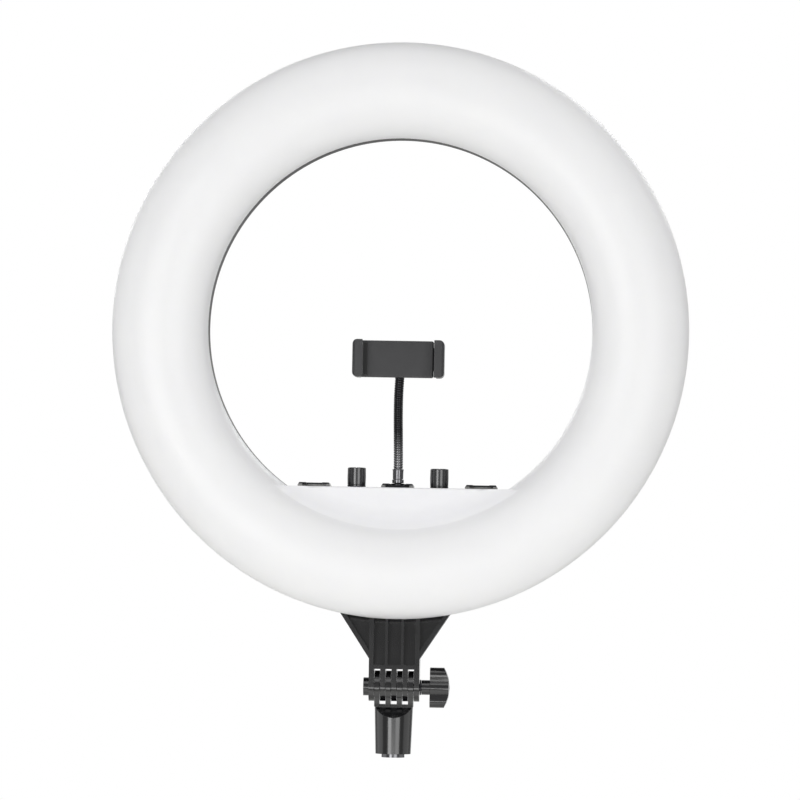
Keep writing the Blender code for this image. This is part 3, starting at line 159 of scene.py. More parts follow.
def joinPieces(piece, others):
    makeActive(piece)
    for other in others:
        other.select_set(True)
    bpy.ops.object.join()
    return piece


def copyPiece(piece, name, move=(0, 0, 0)):
    twin = piece.copy()
    twin.data = piece.data.copy()
    twin.name = twin.data.name = name
    bpy.context.scene.collection.objects.link(twin)
    twin.location = move
    applyPlace(twin)
    return twin


axisTurns = {"x": (0, math.radians(90), 0), "y": (math.radians(-90), 0, 0), "z": (0, 0, 0)}


def turnedPiece(name, profile, at, axis="z", sides=64):
    # profile is (radius, height) from one end to the other: a ring pulled out and scaled step by step
    radius, height = profile[0]
    deselectAll()
    bpy.ops.mesh.primitive_circle_add(vertices=sides, radius=radius, location=(0, 0, height),
                                      fill_type="NOTHING")
    piece = nameActive(name)
    applyPlace(piece)
    closed = profile[0] == profile[-1]
    bpy.ops.object.mode_set(mode="EDIT")
    bpy.ops.mesh.select_mode(type="EDGE")
    bpy.ops.mesh.select_all(action="SELECT")
    if not closed:
        bpy.ops.mesh.edge_face_add()
        bpy.ops.mesh.select_mode(type="FACE")
    for nextRadius, nextHeight in profile[1:]:
        bpy.ops.mesh.extrude_region_move(TRANSFORM_OT_translate={"value": (0, 0, nextHeight - height)})
        scale = nextRadius / radius
        bpy.ops.transform.resize(value=(scale, scale, 1), center_override=(0, 0, nextHeight))
        radius, height = nextRadius, nextHeight
    leaveEditMode()
    turnNormalsOut(piece)
    piece.rotation_euler = axisTurns[axis]
    piece.location = at
    applyPlace(piece)
    return piece


def arcProfile(centre, radius, start, end, steps):
    points = []
    for step in range(steps + 1):
        angle = math.radians(start + (end - start) * step / steps)
        points.append((centre[0] + radius * math.cos(angle), centre[1] + radius * math.sin(angle)))
    return points


def boxPiece(name, low, high, roundAxis=None, roundBy=0.0, edgeRound=0.0, segments=6):
    middle = [(a + b) / 2 for a, b in zip(low, high)]
    size = [b - a for a, b in zip(low, high)]
    deselectAll()
    bpy.ops.mesh.primitive_cube_add(size=1, location=middle)
    piece = nameActive(name)
    piece.scale = size
    applyPlace(piece)
    if roundAxis:
        along = "xyz".index(roundAxis)
        pickParts(piece, "edges", lambda middle, way: abs(way[along]) > 0.99)
        bpy.ops.mesh.bevel(offset=roundBy, segments=segments, affect="EDGES")
        leaveEditMode()
    if edgeRound:
        softenEdges(piece, edgeRound)
    return piece


def softenEdges(piece, width, segments=3, angle=35):
    useModifier(piece, "BEVEL", width=width, segments=segments, limit_method="ANGLE",
                angle_limit=math.radians(angle), use_clamp_overlap=True)


def finishPiece(piece, material, body, nodes=(), smooth=38):
    makeActive(piece)
    bpy.ops.object.shade_smooth_by_angle(angle=math.radians(smooth))
    useModifier(piece, "WEIGHTED_NORMAL", keep_sharp=True)
    piece.data.materials.clear()
    piece.data.materials.append(material)
    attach(piece, body)
    if nodes:
        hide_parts(*nodes)
    return piece


print("stage: studio")
deselectAll()
bpy.ops.mesh.primitive_plane_add(size=studio["floorSize"], location=(0, 0, studio["floorHeight"]))
floor = nameActive("floor")
bpy.ops.mesh.primitive_plane_add(size=studio["backdropSize"],
                                 location=(0, studio["backdropDistance"], studio["backdropMiddle"]))
backdrop = nameActive("backdrop")
backdrop.rotation_euler = (math.radians(90), 0, 0)
for stagePiece, look in ((floor, "floor"), (backdrop, "backdrop")):
    applyPlace(stagePiece)
    stageMaterial = bpy.data.materials.new("matte_" + look)
    stageMaterial.use_nodes = True
    surface = stageMaterial.node_tree.nodes["Principled BSDF"]
    surface.inputs["Base Color"].default_value = linearColour(studio[look + "Colour"])
    surface.inputs["Roughness"].default_value = studio["stageRoughness"]
    if look == "backdrop":
        surface.inputs["Specular IOR Level"].default_value = 0.0
        surface.inputs["Emission Color"].default_value = (1, 1, 1, 1)
        surface.inputs["Emission Strength"].default_value = studio["backdropShine"]
    stagePiece.data.materials.append(stageMaterial)

world = bpy.data.worlds.new("studio_air")
world.use_nodes = True
air = world.node_tree.nodes["Background"]
air.inputs["Color"].default_value = (1, 1, 1, 1)
air.inputs["Strength"].default_value = studio["worldStrength"]
bpy.context.scene.world = world
bpy.context.scene.view_settings.view_transform = "Standard"

lamps = {
    # azimuth and elevation in degrees seen from the object, distance and size in metres, power in watts
    "leftSoftbox": dict(azimuth=-22, elevation=-2, distance=2.4, wide=0.85, tall=1.3, power=15),
    "rightSoftbox": dict(azimuth=27, elevation=-2, distance=2.4, wide=1.1, tall=1.3, power=12),
    "leftPanel": dict(azimuth=-95, elevation=5, distance=2.6, wide=2.6, tall=2.6, power=13),
    "rightPanel": dict(azimuth=95, elevation=5, distance=2.6, wide=2.6, tall=2.6, power=10),
    "overhead": dict(azimuth=0, elevation=80, distance=2.4, wide=2.4, tall=1.8, power=9),
    "underFill": dict(azimuth=0, elevation=-60, distance=1.3, wide=1.4, tall=0.8, power=1.2),
    "lowFront": dict(azimuth=0, elevation=-17, distance=2.4, wide=1.0, tall=0.4, power=4),
    "topFront": dict(azimuth=-5, elevation=44, distance=2.4, wide=2.0, tall=0.9, power=7),
    "backLeft": dict(azimuth=150, elevation=30, distance=2.6, wide=1.2, tall=1.2, power=12),
    "backRight": dict(azimuth=-150, elevation=20, distance=2.6, wide=1.2, tall=1.2, power=10),
}
aim = Vector(studio["aim"])


def directionAt(azimuth, elevation):
    # from the object, in degrees: 0 is straight in front, and right and up are positive
    around, up = math.radians(azimuth), math.radians(elevation)
    return Vector((math.sin(around) * math.cos(up), -math.cos(around) * math.cos(up), math.sin(up)))


for lampName, lamp in lamps.items():
    way = directionAt(lamp["azimuth"], lamp["elevation"])
    bpy.ops.object.light_add(type="AREA", location=aim + way * lamp["distance"])
    light = bpy.context.object
    light.name = lampName
    light.data.shape = "RECTANGLE"
    light.data.size = lamp["wide"]
    light.data.size_y = lamp["tall"]
    light.data.energy = lamp["power"]
    light.rotation_euler = (-way).to_track_quat("-Z", "Y").to_euler()

away = directionAt(studio["fromRight"], -studio["fromBelow"])
bpy.ops.object.camera_add(location=aim + away * studio["distance"])
camera = bpy.context.object
camera.data.lens = studio["lens"]
camera.data.clip_end = studio["clipEnd"]
levelTurn = (-away).to_track_quat("-Z", "Y").to_matrix().to_4x4()
camera.rotation_euler = (levelTurn @ Matrix.Rotation(math.radians(studio["roll"]), 4, "Z")).to_euler()
bpy.context.scene.camera = camera

print("stage: materials")


def newMaterial(name):
    material = bpy.data.materials.new(name)
    material.use_nodes = True
    tree = material.node_tree
    place = addNode(tree, "ShaderNodeTexCoord").outputs["Object"]
    return material, tree, tree.nodes["Principled BSDF"], place


def linkLook(tree, surface, look, tintPattern, glossPattern, reliefPattern, deepMm):
    tint = addNode(tree, "ShaderNodeMix", {"data_type": "RGBA", 6: linearColour(look["dark"]),
                   7: linearColour(look["light"])}, {0: tintPattern.outputs["Fac"]})
    gloss = addNode(tree, "ShaderNodeMapRange", {"To Min": look["roughness"] - look["drift"],
                    "To Max": look["roughness"] + look["drift"]}, {"Value": glossPattern.outputs["Fac"]})
    bump = addNode(tree, "ShaderNodeBump", {"Strength": look["bump"], "Distance": deepMm / 1000},
                   {"Height": reliefPattern.outputs["Fac"]})
    for socket, source in (("Base Color", tint.outputs[2]), ("Roughness", gloss.outputs["Result"]),
                           ("Normal", bump.outputs["Normal"])):
        tree.links.new(source, surface.inputs[socket])


def mouldedPlastic(name, look):
    # injection moulding: flow makes the colour and gloss drift over some millimetres, and the
    # spark-eroded mould leaves a fine grain
    material, tree, surface, place = newMaterial(name)
    flow = addNode(tree, "ShaderNodeTexNoise", {"Scale": 1000 / look["flowMm"], "Detail": 3.0},
                   {"Vector": place})
    grain = addNode(tree, "ShaderNodeTexNoise", {"Scale": 1000 / look["grainMm"], "Detail": 2.0},
                    {"Vector": place})
    surface.inputs["IOR"].default_value = look.get("ior", 1.53)
    linkLook(tree, surface, look, flow, flow, grain, look["grainDeepMm"])
    return material, surface


def workedMetal(name, look):
    # turned or rolled metal: fine tool lines round or along the part, and gloss that wears unevenly
    material, tree, surface, place = newMaterial(name)
    stretch = addNode(tree, "ShaderNodeMapping", {"Scale": look["stretch"]}, {"Vector": place})
    lines = addNode(tree, "ShaderNodeTexNoise", {"Scale": 1000 / look["lineMm"], "Detail": 3.0},
                    {"Vector": stretch.outputs["Vector"]})
    wear = addNode(tree, "ShaderNodeTexNoise", {"Scale": 1000 / look["wearMm"], "Detail": 4.0}, {"Vector": place})
    surface.inputs["Metallic"].default_value = look["metallic"]
    linkLook(tree, surface, look, wear, lines, lines, look["lineDeepMm"])
    return material, surface


def paleBelow(material, surface, paleBand):
    # a paler tone is mixed into the metal's colour below a height; on the neck this is a painted highlight
    tree = material.node_tree
    place = addNode(tree, "ShaderNodeTexCoord").outputs["Object"]
    height = addNode(tree, "ShaderNodeSeparateXYZ", {}, {0: place})
    share = addNode(tree, "ShaderNodeMapRange", {
        "interpolation_type": paleBand["ease"], "From Min": paleBand["full"], "From Max": paleBand["none"],
        "To Min": paleBand["share"], "To Max": 0.0}, {"Value": height.outputs["Z"]})
    plain = surface.inputs["Base Color"].links[0].from_socket
    tint = addNode(tree, "ShaderNodeMix", {"data_type": "RGBA", 7: linearColour(paleBand["colour"])},
                   {0: share.outputs["Result"], 6: plain})
    tree.links.new(tint.outputs[2], surface.inputs["Base Color"])


# opal polycarbonate: milky all through, a soft skin and no clear highlight
opal, opalSurface = mouldedPlastic("opal_polycarbonate", dict(
    dark="#F3F3F6", light="#F8F8FA", flowMm=45, grainMm=0.9, grainDeepMm=0.02, bump=0.12,
    roughness=0.42, drift=0.05, ior=1.58))
# painted shade: the shelf's front is darkened in its colour, as black plastic right behind it sends less light
# back through it
shelfShade = {"centre": (0, -0.022, 0.298), "fullRadius": 0.1490, "noneRadius": 0.1560, "share": 0.93}
opalTree = opal.node_tree
opalPlace = addNode(opalTree, "ShaderNodeTexCoord").outputs["Object"]
fromCentre = addNode(opalTree, "ShaderNodeVectorMath", {"operation": "DISTANCE", 1: shelfShade["centre"]},
                     {0: opalPlace})
shelfShadeShare = addNode(opalTree, "ShaderNodeMapRange", {
    "interpolation_type": "SMOOTHSTEP", "From Min": shelfShade["fullRadius"],
    "From Max": shelfShade["noneRadius"], "To Min": shelfShade["share"], "To Max": 1.0},
    {"Value": fromCentre.outputs["Value"]})
milky = opalSurface.inputs["Base Color"].links[0].from_socket
# painted shade, multiplied into the opal's colour on the shelf's front
shelfPaintedShade = addNode(opalTree, "ShaderNodeMix", {"data_type": "RGBA", "blend_type": "MULTIPLY", 0: 1.0},
                    {6: milky, 7: shelfShadeShare.outputs["Result"]})
opalTree.links.new(shelfPaintedShade.outputs[2], opalSurface.inputs["Base Color"])
opalSurface.inputs["Subsurface Weight"].default_value = 0.35
opalSurface.inputs["Subsurface Radius"].default_value = (0.9, 0.9, 1.0)
opalSurface.inputs["Subsurface Scale"].default_value = 0.004

# black ABS shell with a coarse spark-eroded texture
shellAbs, _ = mouldedPlastic("textured_black_abs", dict(
    dark="#161617", light="#1E1E20", flowMm=30, grainMm=0.8, grainDeepMm=0.05, bump=0.5,
    roughness=0.52, drift=0.06))
# glass-filled nylon: strong, a little glossy, flow marks near the ribs
nylon, _ = mouldedPlastic("glass_filled_nylon", dict(
    dark="#0C0C0D", light="#151517", flowMm=14, grainMm=0.7, grainDeepMm=0.006, bump=0.12,
    roughness=0.17, drift=0.03, ior=1.74))
# satin ABS of the phone clamp and the switch, from a mould blasted to a soft sheen
satinAbs, _ = mouldedPlastic("satin_charcoal_abs", dict(
    dark="#2A2A2C", light="#323234", flowMm=12, grainMm=0.6, grainDeepMm=0.02, bump=0.3,
    roughness=0.36, drift=0.05))
# ABS of the dials, from a polished mould: narrow, clear highlights
dialAbs, _ = mouldedPlastic("polished_black_abs", dict(
    dark="#1B1B1D", light="#232325", flowMm=9, grainMm=0.6, grainDeepMm=0.002, bump=0.08,
    roughness=0.22, drift=0.03, ior=1.8))
# moulded rubber: matt, dusty, faintly pebbled
rubber, rubberSurface = mouldedPlastic("black_rubber_pad", dict(
    dark="#1B1B1C", light="#262627", flowMm=8, grainMm=0.9, grainDeepMm=0.06, bump=0.6,
    roughness=0.72, drift=0.08, ior=1.5))
rubberSurface.inputs["Sheen Weight"].default_value = 0.2
# extruded PVC sleeve of the lead: smooth and waxy
redPvc, _ = mouldedPlastic("red_pvc_sleeve", dict(
    dark="#A01515", light="#B82020", flowMm=6, grainMm=0.8, grainDeepMm=0.01, bump=0.2,
    roughness=0.4, drift=0.05))
# solder-masked board: glassy lacquer over a glass weave
whiteBoard, _ = mouldedPlastic("white_solder_mask", dict(
    dark="#DDDFDD", light="#EBECEA", flowMm=6, grainMm=0.8, grainDeepMm=0.01, bump=0.2,
    roughness=0.3, drift=0.06))
greenBoard, _ = mouldedPlastic("green_solder_mask", dict(
    dark="#0E4B28", light="#15603A", flowMm=5, grainMm=0.8, grainDeepMm=0.01, bump=0.2,
    roughness=0.28, drift=0.06))

# smoky chrome plate over turned brass: round tool lines under a hard, deep shine
chrome, _ = workedMetal("smoky_chrome_plate", dict(
    dark="#6A6A6C", light="#77777A", stretch=(1, 1, 6), lineMm=0.8, lineDeepMm=0.0005, wearMm=6, bump=0.03,
    roughness=0.2, drift=0.02, metallic=1.0))
# zinc plate: duller, a little blue
zinc, _ = workedMetal("zinc_plated_steel", dict(
    dark="#A9AAAC", light="#C2C3C4", stretch=(1, 1, 5), lineMm=0.7, lineDeepMm=0.008, wearMm=4, bump=0.35,
    roughness=0.32, drift=0.09, metallic=1.0))
# black nickel on the wound neck: dark, with a smoky shine
blackNickel, neckSurface = workedMetal("black_nickel_steel", dict(
    dark="#2E2E30", light="#3C3C3E", stretch=(1, 1, 3), lineMm=0.7, lineDeepMm=0.003, wearMm=5, bump=0.1,
    roughness=0.22, drift=0.04, metallic=1.0))
# painted highlight: the neck's lower turns, above its ferrule, get a paler colour standing in for the glints of
# light on them
paleBelow(blackNickel, neckSurface, dict(full=0.192, none=0.222, share=0.8, colour="#8C8C8E", ease="SMOOTHSTEP"))
# black oxide on stamped steel: thin, dark and slightly oily
blackOxide, _ = workedMetal("black_oxide_steel", dict(
    dark="#262628", light="#3B3B3E", stretch=(6, 1, 1), lineMm=0.6, lineDeepMm=0.005, wearMm=3, bump=0.2,
    roughness=0.3, drift=0.08, metallic=0.85))
# the same steel, paler below a height inside the channel
shoeSteel, shoeSurface = workedMetal("shoe_steel_pale_below", dict(
    dark="#262628", light="#3B3B3E", stretch=(6, 1, 1), lineMm=0.6, lineDeepMm=0.005, wearMm=3, bump=0.2,
    roughness=0.28, drift=0.08, metallic=0.85))
paleBelow(shoeSteel, shoeSurface, dict(full=0.1769, none=0.1774, share=0.75, colour="#A5A5A3", ease="LINEAR"))

print("stage: diffuser")
ring = {
    "centreHeight": 0.298,
    "meanRadius": 0.1875,
    "halfWidth": 0.0375,
    "bulge": 0.030,
    "seam": -0.0120,
    "sides": 192,
    "domeSteps": 40,
    "wall": 0.0016,
    "edgeBand": 0.0012,  # straight edge between the dome and the seam
    "shelfTop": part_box("front_diffuser")[0][2] + 0.1022,
    "shelfFront": -0.0220,
    "shelfEdgeRound": 0.0011,
    "shelfRadii": (0.1, 0.02),  # where the shelf's flat front is divided on its way to the middle
    "blendAngle": 46,  # how steeply the shelf's flat front has risen where it joins the dome
    "blendSteps": 12,
    "intoWall": 0.001,  # how far the shelf's front reaches into the ring's wall
}
centre = (0, 0, ring["centreHeight"])


def domePoint(turn, inset=0.0):
    reach = ring["halfWidth"] - inset
    depth = ring["bulge"] - ring["edgeBand"] - inset
    return (ring["meanRadius"] + reach * math.cos(turn),
            ring["seam"] - ring["edgeBand"] - depth * math.sin(turn))


domeTurns = [math.pi * step / ring["domeSteps"] for step in range(ring["domeSteps"] + 1)]
outerSkin = [domePoint(turn) for turn in domeTurns]
innerSkin = [domePoint(turn, ring["wall"]) for turn in reversed(domeTurns)]
outerRadius = ring["meanRadius"] + ring["halfWidth"]
innerRadius = ring["meanRadius"] - ring["halfWidth"]
lip = [(innerRadius, ring["seam"]), (innerRadius + ring["wall"], ring["seam"])]
farLip = [(outerRadius - ring["wall"], ring["seam"]), (outerRadius, ring["seam"])]
diffuser = turnedPiece("opal_diffuser", [farLip[1]] + outerSkin + lip + innerSkin + farLip, centre, "y",
                       ring["sides"])

# the shelf's front is flat, and sweeps up into the dome on a soft radius
blendAngle = math.radians(ring["blendAngle"])
share = math.tan(blendAngle) * ring["halfWidth"] / ring["bulge"]
reach = share / math.sqrt(1 + share * share)
meetRadius = ring["meanRadius"] - ring["halfWidth"] * reach
meetDepth = ring["seam"] - ring["bulge"] * math.sqrt(1 - reach * reach)
blend = (ring["shelfFront"] - meetDepth) / (1 - math.cos(blendAngle))
blendStart = meetRadius - blend * math.sin(blendAngle)
sweep = []
for step in range(ring["blendSteps"], -1, -1):
    angle = math.radians(ring["blendAngle"] * step / ring["blendSteps"])
    sweep.append((blendStart + blend * math.sin(angle), ring["shelfFront"] - blend * (1 - math.cos(angle))))
inWall = meetRadius + ring["intoWall"]
crescentProfile = [(inWall, ring["seam"] - 0.0002), (inWall, meetDepth + 0.0008)] + sweep
crescentProfile += [(radius, ring["shelfFront"]) for radius in ring["shelfRadii"]]
crescent = turnedPiece("shelf_front", crescentProfile, centre, "y", ring["sides"])


def keepBelow(piece, height):
    makeActive(piece)
    bpy.ops.object.mode_set(mode="EDIT")
    bpy.ops.mesh.select_all(action="SELECT")
    bpy.ops.mesh.bisect(plane_co=(0, 0, height), plane_no=(0, 0, 1), use_fill=True, clear_outer=True)
    leaveEditMode()


keepBelow(crescent, ring["shelfTop"])
pickParts(crescent, "edges", lambda middle, way: middle[2] > ring["shelfTop"] - 0.0001
          and abs(middle[1] - ring["shelfFront"]) < 0.0002 and abs(way[0]) > 0.9)
bpy.ops.mesh.bevel(offset=ring["shelfEdgeRound"], segments=5, affect="EDGES")
leaveEditMode()
combine(diffuser, [crescent], "UNION")
finishPiece(diffuser, opal, "head", ["front_diffuser"], smooth=30)

print("stage: rear housing")
shell = {
    "back": 0.0200,
    "corner": 0.0120,
    "wall": 0.0022,
    "seamGap": 0.0003,
    "groove": 0.0012,  # width of the two fine rings on the back
    "grooveDeep": 0.0005,
    "grooveRadii": (0.1945, 0.1725),
    "ventCount": 7,
    "ventGroups": 6,
    "ventStep": 2.0,  # degrees between slots
    "ventReach": (0.1765, 0.1905),
    "ventWide": 0.0020,
    "boxRadius": 0.1615,
    "boxEdgeRound": 0.0012,
    "jackHoleRadius": 0.0048,
    "screwHoleRadius": 0.0021,
    "pastTop": 0.19,  # where the cutters end, above the shelf and behind the back
    "pastBack": 0.03,
}
seam = ring["seam"] + shell["seamGap"]
cornerHeight = shell["back"] - shell["corner"]
backFace = []
grooveFloor = shell["back"] - shell["grooveDeep"]
for radius in shell["grooveRadii"]:
    backFace += [(radius + shell["groove"] / 2, shell["back"]), (radius + shell["groove"] / 4, grooveFloor),
                 (radius - shell["groove"] / 4, grooveFloor), (radius - shell["groove"] / 2, shell["back"])]
outside = [(outerRadius - 0.0003, seam), (outerRadius, seam + 0.0003)]
outside += arcProfile((outerRadius - shell["corner"], cornerHeight), shell["corner"], 0, 90, 10) + backFace
outside += arcProfile((innerRadius + shell["corner"], cornerHeight), shell["corner"], 90, 180, 10)
outside += [(innerRadius, seam + 0.0003), (innerRadius + 0.0003, seam)]
inside = [(innerRadius + shell["wall"], seam)]
inside += arcProfile((innerRadius + shell["corner"], cornerHeight), shell["corner"] - shell["wall"], 180, 90, 6)
inside += arcProfile((outerRadius - shell["corner"], cornerHeight), shell["corner"] - shell["wall"], 90, 0, 6)
inside += [(outerRadius - shell["wall"], seam)]
housing = turnedPiece("shell_housing", outside + inside + outside[:1], centre, "y", ring["sides"])

vent = boxPiece("vent_cutter", (shell["ventReach"][0], 0.010, -shell["ventWide"] / 2),
                (shell["ventReach"][1], shell["pastBack"], shell["ventWide"] / 2), "y",
                shell["ventWide"] * 0.49, segments=4)
vents = []
for group in range(shell["ventGroups"]):
    for slotNumber in range(shell["ventCount"]):
        fromMiddle = (slotNumber - (shell["ventCount"] - 1) / 2) * shell["ventStep"]
        angle = 90 + group * 360 / shell["ventGroups"] + fromMiddle
        if abs(angle % 360 - 270) < 20:
            continue  # the bracket is there
        slit = copyPiece(vent, "vent_copy")
        slit.rotation_euler = (0, -math.radians(angle), 0)
        slit.location = centre
        applyPlace(slit)
        vents.append(slit)
bpy.data.objects.remove(vent)
combine(housing, [joinPieces(vents[0], vents[1:])], "DIFFERENCE")

boxProfile = [(shell["boxRadius"], seam), (shell["boxRadius"], shell["back"] - 0.0004)]
boxProfile += [(shell["boxRadius"] - 0.0004, shell["back"]), (ring["shelfRadii"][1], shell["back"])]
box = turnedPiece("shelf_box", boxProfile, centre, "y", ring["sides"])
keepBelow(box, ring["shelfTop"])
pickParts(box, "edges", lambda middle, way: middle[2] > ring["shelfTop"] - 0.0001
          and middle[1] > shell["back"] - 0.0002 and abs(way[0]) > 0.9)
bpy.ops.mesh.bevel(offset=shell["boxEdgeRound"], segments=5, affect="EDGES")
leaveEditMode()
combine(housing, [box], "UNION")

switchLow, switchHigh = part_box("switch_body")
jackLow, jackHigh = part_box("dc_jack")
cutters = [boxPiece("switch_hole", (switchLow[0] + 0.001, 0.0105, switchLow[2] + 0.001),
                    (switchHigh[0] - 0.001, shell["pastBack"], switchHigh[2] - 0.001))]
jackMiddle = (jackLow + jackHigh) / 2
jackHole = [(shell["jackHoleRadius"], 0.0072), (shell["jackHoleRadius"], shell["pastBack"])]
cutters.append(turnedPiece("jack_hole", jackHole, (jackMiddle[0], 0, jackMiddle[2]), "y", 32))
shoeNames = ("left_shoe", "centre_shoe", "right_shoe")
for shoeName in shoeNames:
    low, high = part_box(shoeName)
    cutters.append(boxPiece("shoe_seat", (low[0] - 0.0003, low[1] - 0.0003, low[2] - 0.0004),
                            (high[0] + 0.0003, high[1] + 0.0003, shell["pastTop"])))
for screwName in (f"{shoeName}_screw_{number}" for shoeName in shoeNames for number in (1, 2)):
    low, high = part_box(screwName)
    middle = (low + high) / 2
    screwHole = [(shell["screwHoleRadius"], low[2] - 0.0005), (shell["screwHoleRadius"], shell["pastTop"])]
    cutters.append(turnedPiece("screw_hole", screwHole, (middle[0], middle[1], 0), "z", 20))
combine(housing, [joinPieces(cutters[0], cutters[1:])], "DIFFERENCE")
finishPiece(housing, shellAbs, "head", ["rear_housing"], smooth=30)

print("stage: shoes, dials and neck")


def softCopy(node, name, width, segments=2, angle=35):
    # a merged copy of a CAD node, with the edges a mould or a die leaves round
    piece = cadNodes[node].copy()
    piece.data = cadNodes[node].data.copy()
    for key in list(piece.keys()):
        del piece[key]
    piece.name = piece.data.name = name
    piece.parent = None
    piece.matrix_world = Matrix.Identity(4)
    piece.hide_render = piece.hide_viewport = False
    bpy.context.scene.collection.objects.link(piece)
    makeActive(piece)
    bpy.ops.object.mode_set(mode="EDIT")
    bpy.ops.mesh.select_all(action="SELECT")
    bpy.ops.mesh.remove_doubles(threshold=0.000004)
    bpy.ops.mesh.dissolve_limited(angle_limit=math.radians(0.6))
    leaveEditMode()
    if width:
        softenEdges(piece, width, segments, angle)
    return piece


dial = {
    "barrel": 0.00014,  # how much wider its waist is than its ends
    "edge": 0.0007,
    "skirt": 0.0011,
    "gripIn": 0.0002,  # how far the grip stands inside the skirt
}
for dialName in ("brightness_knob", "colour_knob"):
    low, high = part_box(dialName)
    middle = (low + high) / 2
    radius = (high[0] - low[0]) / 2
    gripRadius = radius - dial["gripIn"]
    skirtTop = low[2] + dial["skirt"]
    body = [(radius - 0.0006, low[2]), (radius - 0.0001, low[2] + 0.0004), (radius - 0.0001, skirtTop)]
    body += [(radius - 0.0004, skirtTop + 0.0002), (gripRadius, skirtTop + 0.0006)]
    body += [(gripRadius + dial["barrel"], middle[2]), (gripRadius, high[2] - dial["edge"] - 0.0005)]
    body += arcProfile((gripRadius - dial["edge"], high[2] - dial["edge"]), dial["edge"], 0, 90, 5)
    body += [(radius - 0.0018, high[2]), (radius - 0.0022, high[2] - 0.00025), (0.0012, high[2] - 0.00035)]
    grip = turnedPiece(dialName + "_grip", body, (middle[0], middle[1], 0), "z", 96)
    pointer = boxPiece("pointer_cutter", (middle[0] - 0.0004, low[1] - 0.001, high[2] - 0.0006),
                       (middle[0] + 0.0004, middle[1] - 0.0028, high[2] + 0.001))
    combine(grip, [pointer], "DIFFERENCE")
    finishPiece(grip, dialAbs, dialName, [dialName], smooth=32)

for shoeName in shoeNames:
    stamping = softCopy(shoeName, shoeName + "_stamping", 0.00035, 3)
    finishPiece(stamping, shoeSteel, "head", [shoeName])

foot = softCopy("holder_foot", "holder_foot_plate", 0.0003, 3)
finishPiece(foot, blackOxide, "holder_foot", ["holder_foot"])

low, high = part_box("lower_ferrule")
middle = (low + high) / 2
wide = (high[0] - low[0]) / 2
ferruleProfile = [(wide - 0.0006, low[2]), (wide, low[2] + 0.0004), (wide, low[2] + 0.0026)]
ferruleProfile += [(wide - 0.0005, low[2] + 0.0031), (wide - 0.0004, high[2] - 0.0012)]
ferruleProfile += [(wide - 0.0001, high[2] - 0.0008), (wide - 0.0001, high[2] - 0.0004)]
ferruleProfile += [(wide - 0.0006, high[2]), (0.0030, high[2])]
ferrule = turnedPiece("neck_ferrule", ferruleProfile, (middle[0], middle[1], 0), "z", 64)
finishPiece(ferrule, chrome, "holder_foot", ["lower_ferrule"])

# the neck's wound ribs are modelled straight, then bent along the neck's line
neck = {
    "ribPitch": 0.0019,
    "ribRadius": 0.0037,
    "valleyRadius": 0.0034,
    "sides": 24,
    "ribShares": (0, 0.1, 0.22, 0.36, 0.5, 0.64, 0.78, 0.9),  # where one rib's outline has its points
    "footPoint": (0.0, -0.0010, 0.1752),
    "ballRadius": 0.005,
    "reachUp": ((0, 0, 0.1189), (0, 0.0004, 0.22), (-0.0005, 0.0045, 0.40), (-0.0011, 0.0110, 0.58),
                (-0.0012, 0.0160, 0.74), (-0.0006, 0.0165, 0.88)),  # heights are shares of the rise
    "intoBall": ((-0.0003, 0.0245, -0.0045), (0, 0.0195, -0.0007), (0, 0.0152, 0)),
    "stepsPerSpan": 8,
    "lowerSpans": 4,  # spans that belong to the lower half
    "bendFrom": (0, -0.001, 0.190),  # a point just above the neck's foot
    "bendTo": 5,  # a corner of the neck's line, counted from its foot
}
footPoint = Vector(neck["footPoint"])
ballLow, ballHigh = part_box("ball_stud")
ballPoint = Vector((0, ballLow[1] + neck["ballRadius"], (ballLow[2] + ballHigh[2]) / 2))
rise = ballPoint.z - footPoint.z
corners = [footPoint + Vector((x, y, share * rise)) for x, y, share in neck["reachUp"]]
corners += [ballPoint + Vector(step) for step in neck["intoBall"]]
ends = [corners[0] * 2 - corners[1]] + corners + [corners[-1] * 2 - corners[-2]]
neckLine = []
for before, start, end, after in zip(ends, ends[1:], ends[2:], ends[3:]):
    for number in range(neck["stepsPerSpan"]):
        t = number / neck["stepsPerSpan"]
        pull = (end - before) * t + (before * 2 - start * 5 + end * 4 - after) * t ** 2
        neckLine.append(start + (pull + (start * 3 - before - end * 3 + after) * t ** 3) / 2)
neckLine.append(corners[-1])
splitNumber = neck["lowerSpans"] * neck["stepsPerSpan"]
lowerLine, upperLine = neckLine[:splitNumber + 1], neckLine[splitNumber:]


def lineLength(points):
    return sum((b - a).length for a, b in zip(points, points[1:]))


def ribbedNeck(name, points):
    ribs = round(lineLength(points) / neck["ribPitch"])
    pitch = lineLength(points) / ribs
    profile = []
    for number in range(ribs):
        base = number * pitch
        for share in neck["ribShares"]:
            crown = math.sin(math.pi * share) ** 0.7  # fuller than a sine, as wound strip is
            radius = neck["valleyRadius"] + (neck["ribRadius"] - neck["valleyRadius"]) * crown
            profile.append((radius, base + pitch * share))
    profile.append((neck["valleyRadius"], ribs * pitch))
    tube = turnedPiece(name, profile, (0, 0, 0), "z", neck["sides"])
    tube.rotation_euler = (0, math.radians(90), 0)
    applyPlace(tube)
    lineData = bpy.data.curves.new(name + "_line", "CURVE")
    lineData.dimensions = "3D"
    lineData.twist_mode = "MINIMUM"
    spline = lineData.splines.new("POLY")
    spline.points.add(len(points) - 1)
    for point, place in zip(spline.points, points):
        point.co = (*place, 1)
    line = bpy.data.objects.new(name + "_line", lineData)
    bpy.context.scene.collection.objects.link(line)
    useModifier(tube, "CURVE", object=line, deform_axis="POS_X")
    bpy.data.objects.remove(line)
    return tube


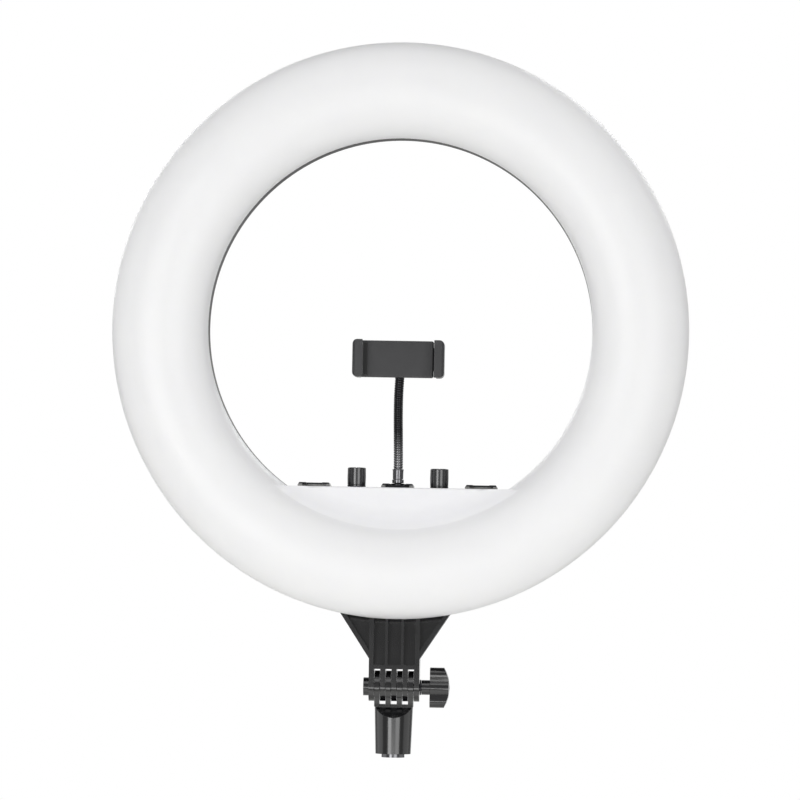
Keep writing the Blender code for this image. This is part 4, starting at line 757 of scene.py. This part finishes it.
lowerNeck = ribbedNeck("neck_ribs_lower", lowerLine)
upperNeck = ribbedNeck("neck_ribs_upper", upperLine)
for piece, nodeName in ((lowerNeck, "gooseneck_lower"), (upperNeck, "gooseneck_upper")):
    makeActive(piece)
    bpy.ops.object.shade_smooth_by_angle(angle=math.radians(50))
    piece.data.materials.clear()
    piece.data.materials.append(blackNickel)
    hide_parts(nodeName)
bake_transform(lowerNeck)
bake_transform(upperNeck)

print("stage: softened mouldings")
mouldings = {
    # node: body, material, slot, rounding of its edges in metres
    "tilt_bracket": ("head", nylon, "black_abs", 0.0006),
    "stand_socket": ("stand", nylon, "black_abs", 0.0005),
    "tilt_knob": ("tilt_knob", nylon, "black_abs", 0.0007),
    "lock_knob": ("lock_knob", nylon, "black_abs", 0.0006),
    "clamp_body": ("clamp", satinAbs, "black_abs", 0.0008),
    "clamp_back": ("clamp", satinAbs, "black_abs", 0.0005),
    "sliding_jaw": ("sliding_jaw", satinAbs, "black_abs", 0.0008),
    "fixed_jaw_pad": ("clamp", rubber, "black_rubber", 0.0005),
    "sliding_jaw_pad": ("sliding_jaw", rubber, "black_rubber", 0.0004),
    "lock_ring": ("ball_ring", satinAbs, "black_abs", 0.0003),
    "switch_body": ("head", satinAbs, "black_abs", 0.0004),
    "switch_rocker": ("switch_rocker", satinAbs, "black_abs", 0.0004),
    "dc_jack": ("head", satinAbs, "black_abs", 0.0002),
    "socket_liner": ("stand", chrome, "steel", 0.0002),
}
for nodeName, (body, material, slotName, rounding) in mouldings.items():
    moulding = softCopy(nodeName, nodeName + "_moulding", rounding)
    finishPiece(moulding, material, body, [nodeName], smooth=42)

print("stage: carried-over nodes")
nodeMaterials = {
    # any node whose name holds the word gets the material
    "lock_pad": rubber, "lock_screw": zinc, "ball_stud": zinc, "clamp_spring": zinc, "_nut": zinc,
    "_pot": zinc, "_shaft": zinc, "shoe_screw": zinc, "tilt_washer": blackOxide, "tilt_stud": blackOxide,
    "housing_screw": blackOxide, "bracket_screw": blackOxide, "led_board": whiteBoard, "led_lead": redPvc,
    "driver_board": greenBoard,
}
for nodeName, node in cadNodes.items():
    for word, material in nodeMaterials.items():
        if word not in nodeName:
            continue
        node.data.materials.clear()
        node.data.materials.append(material)
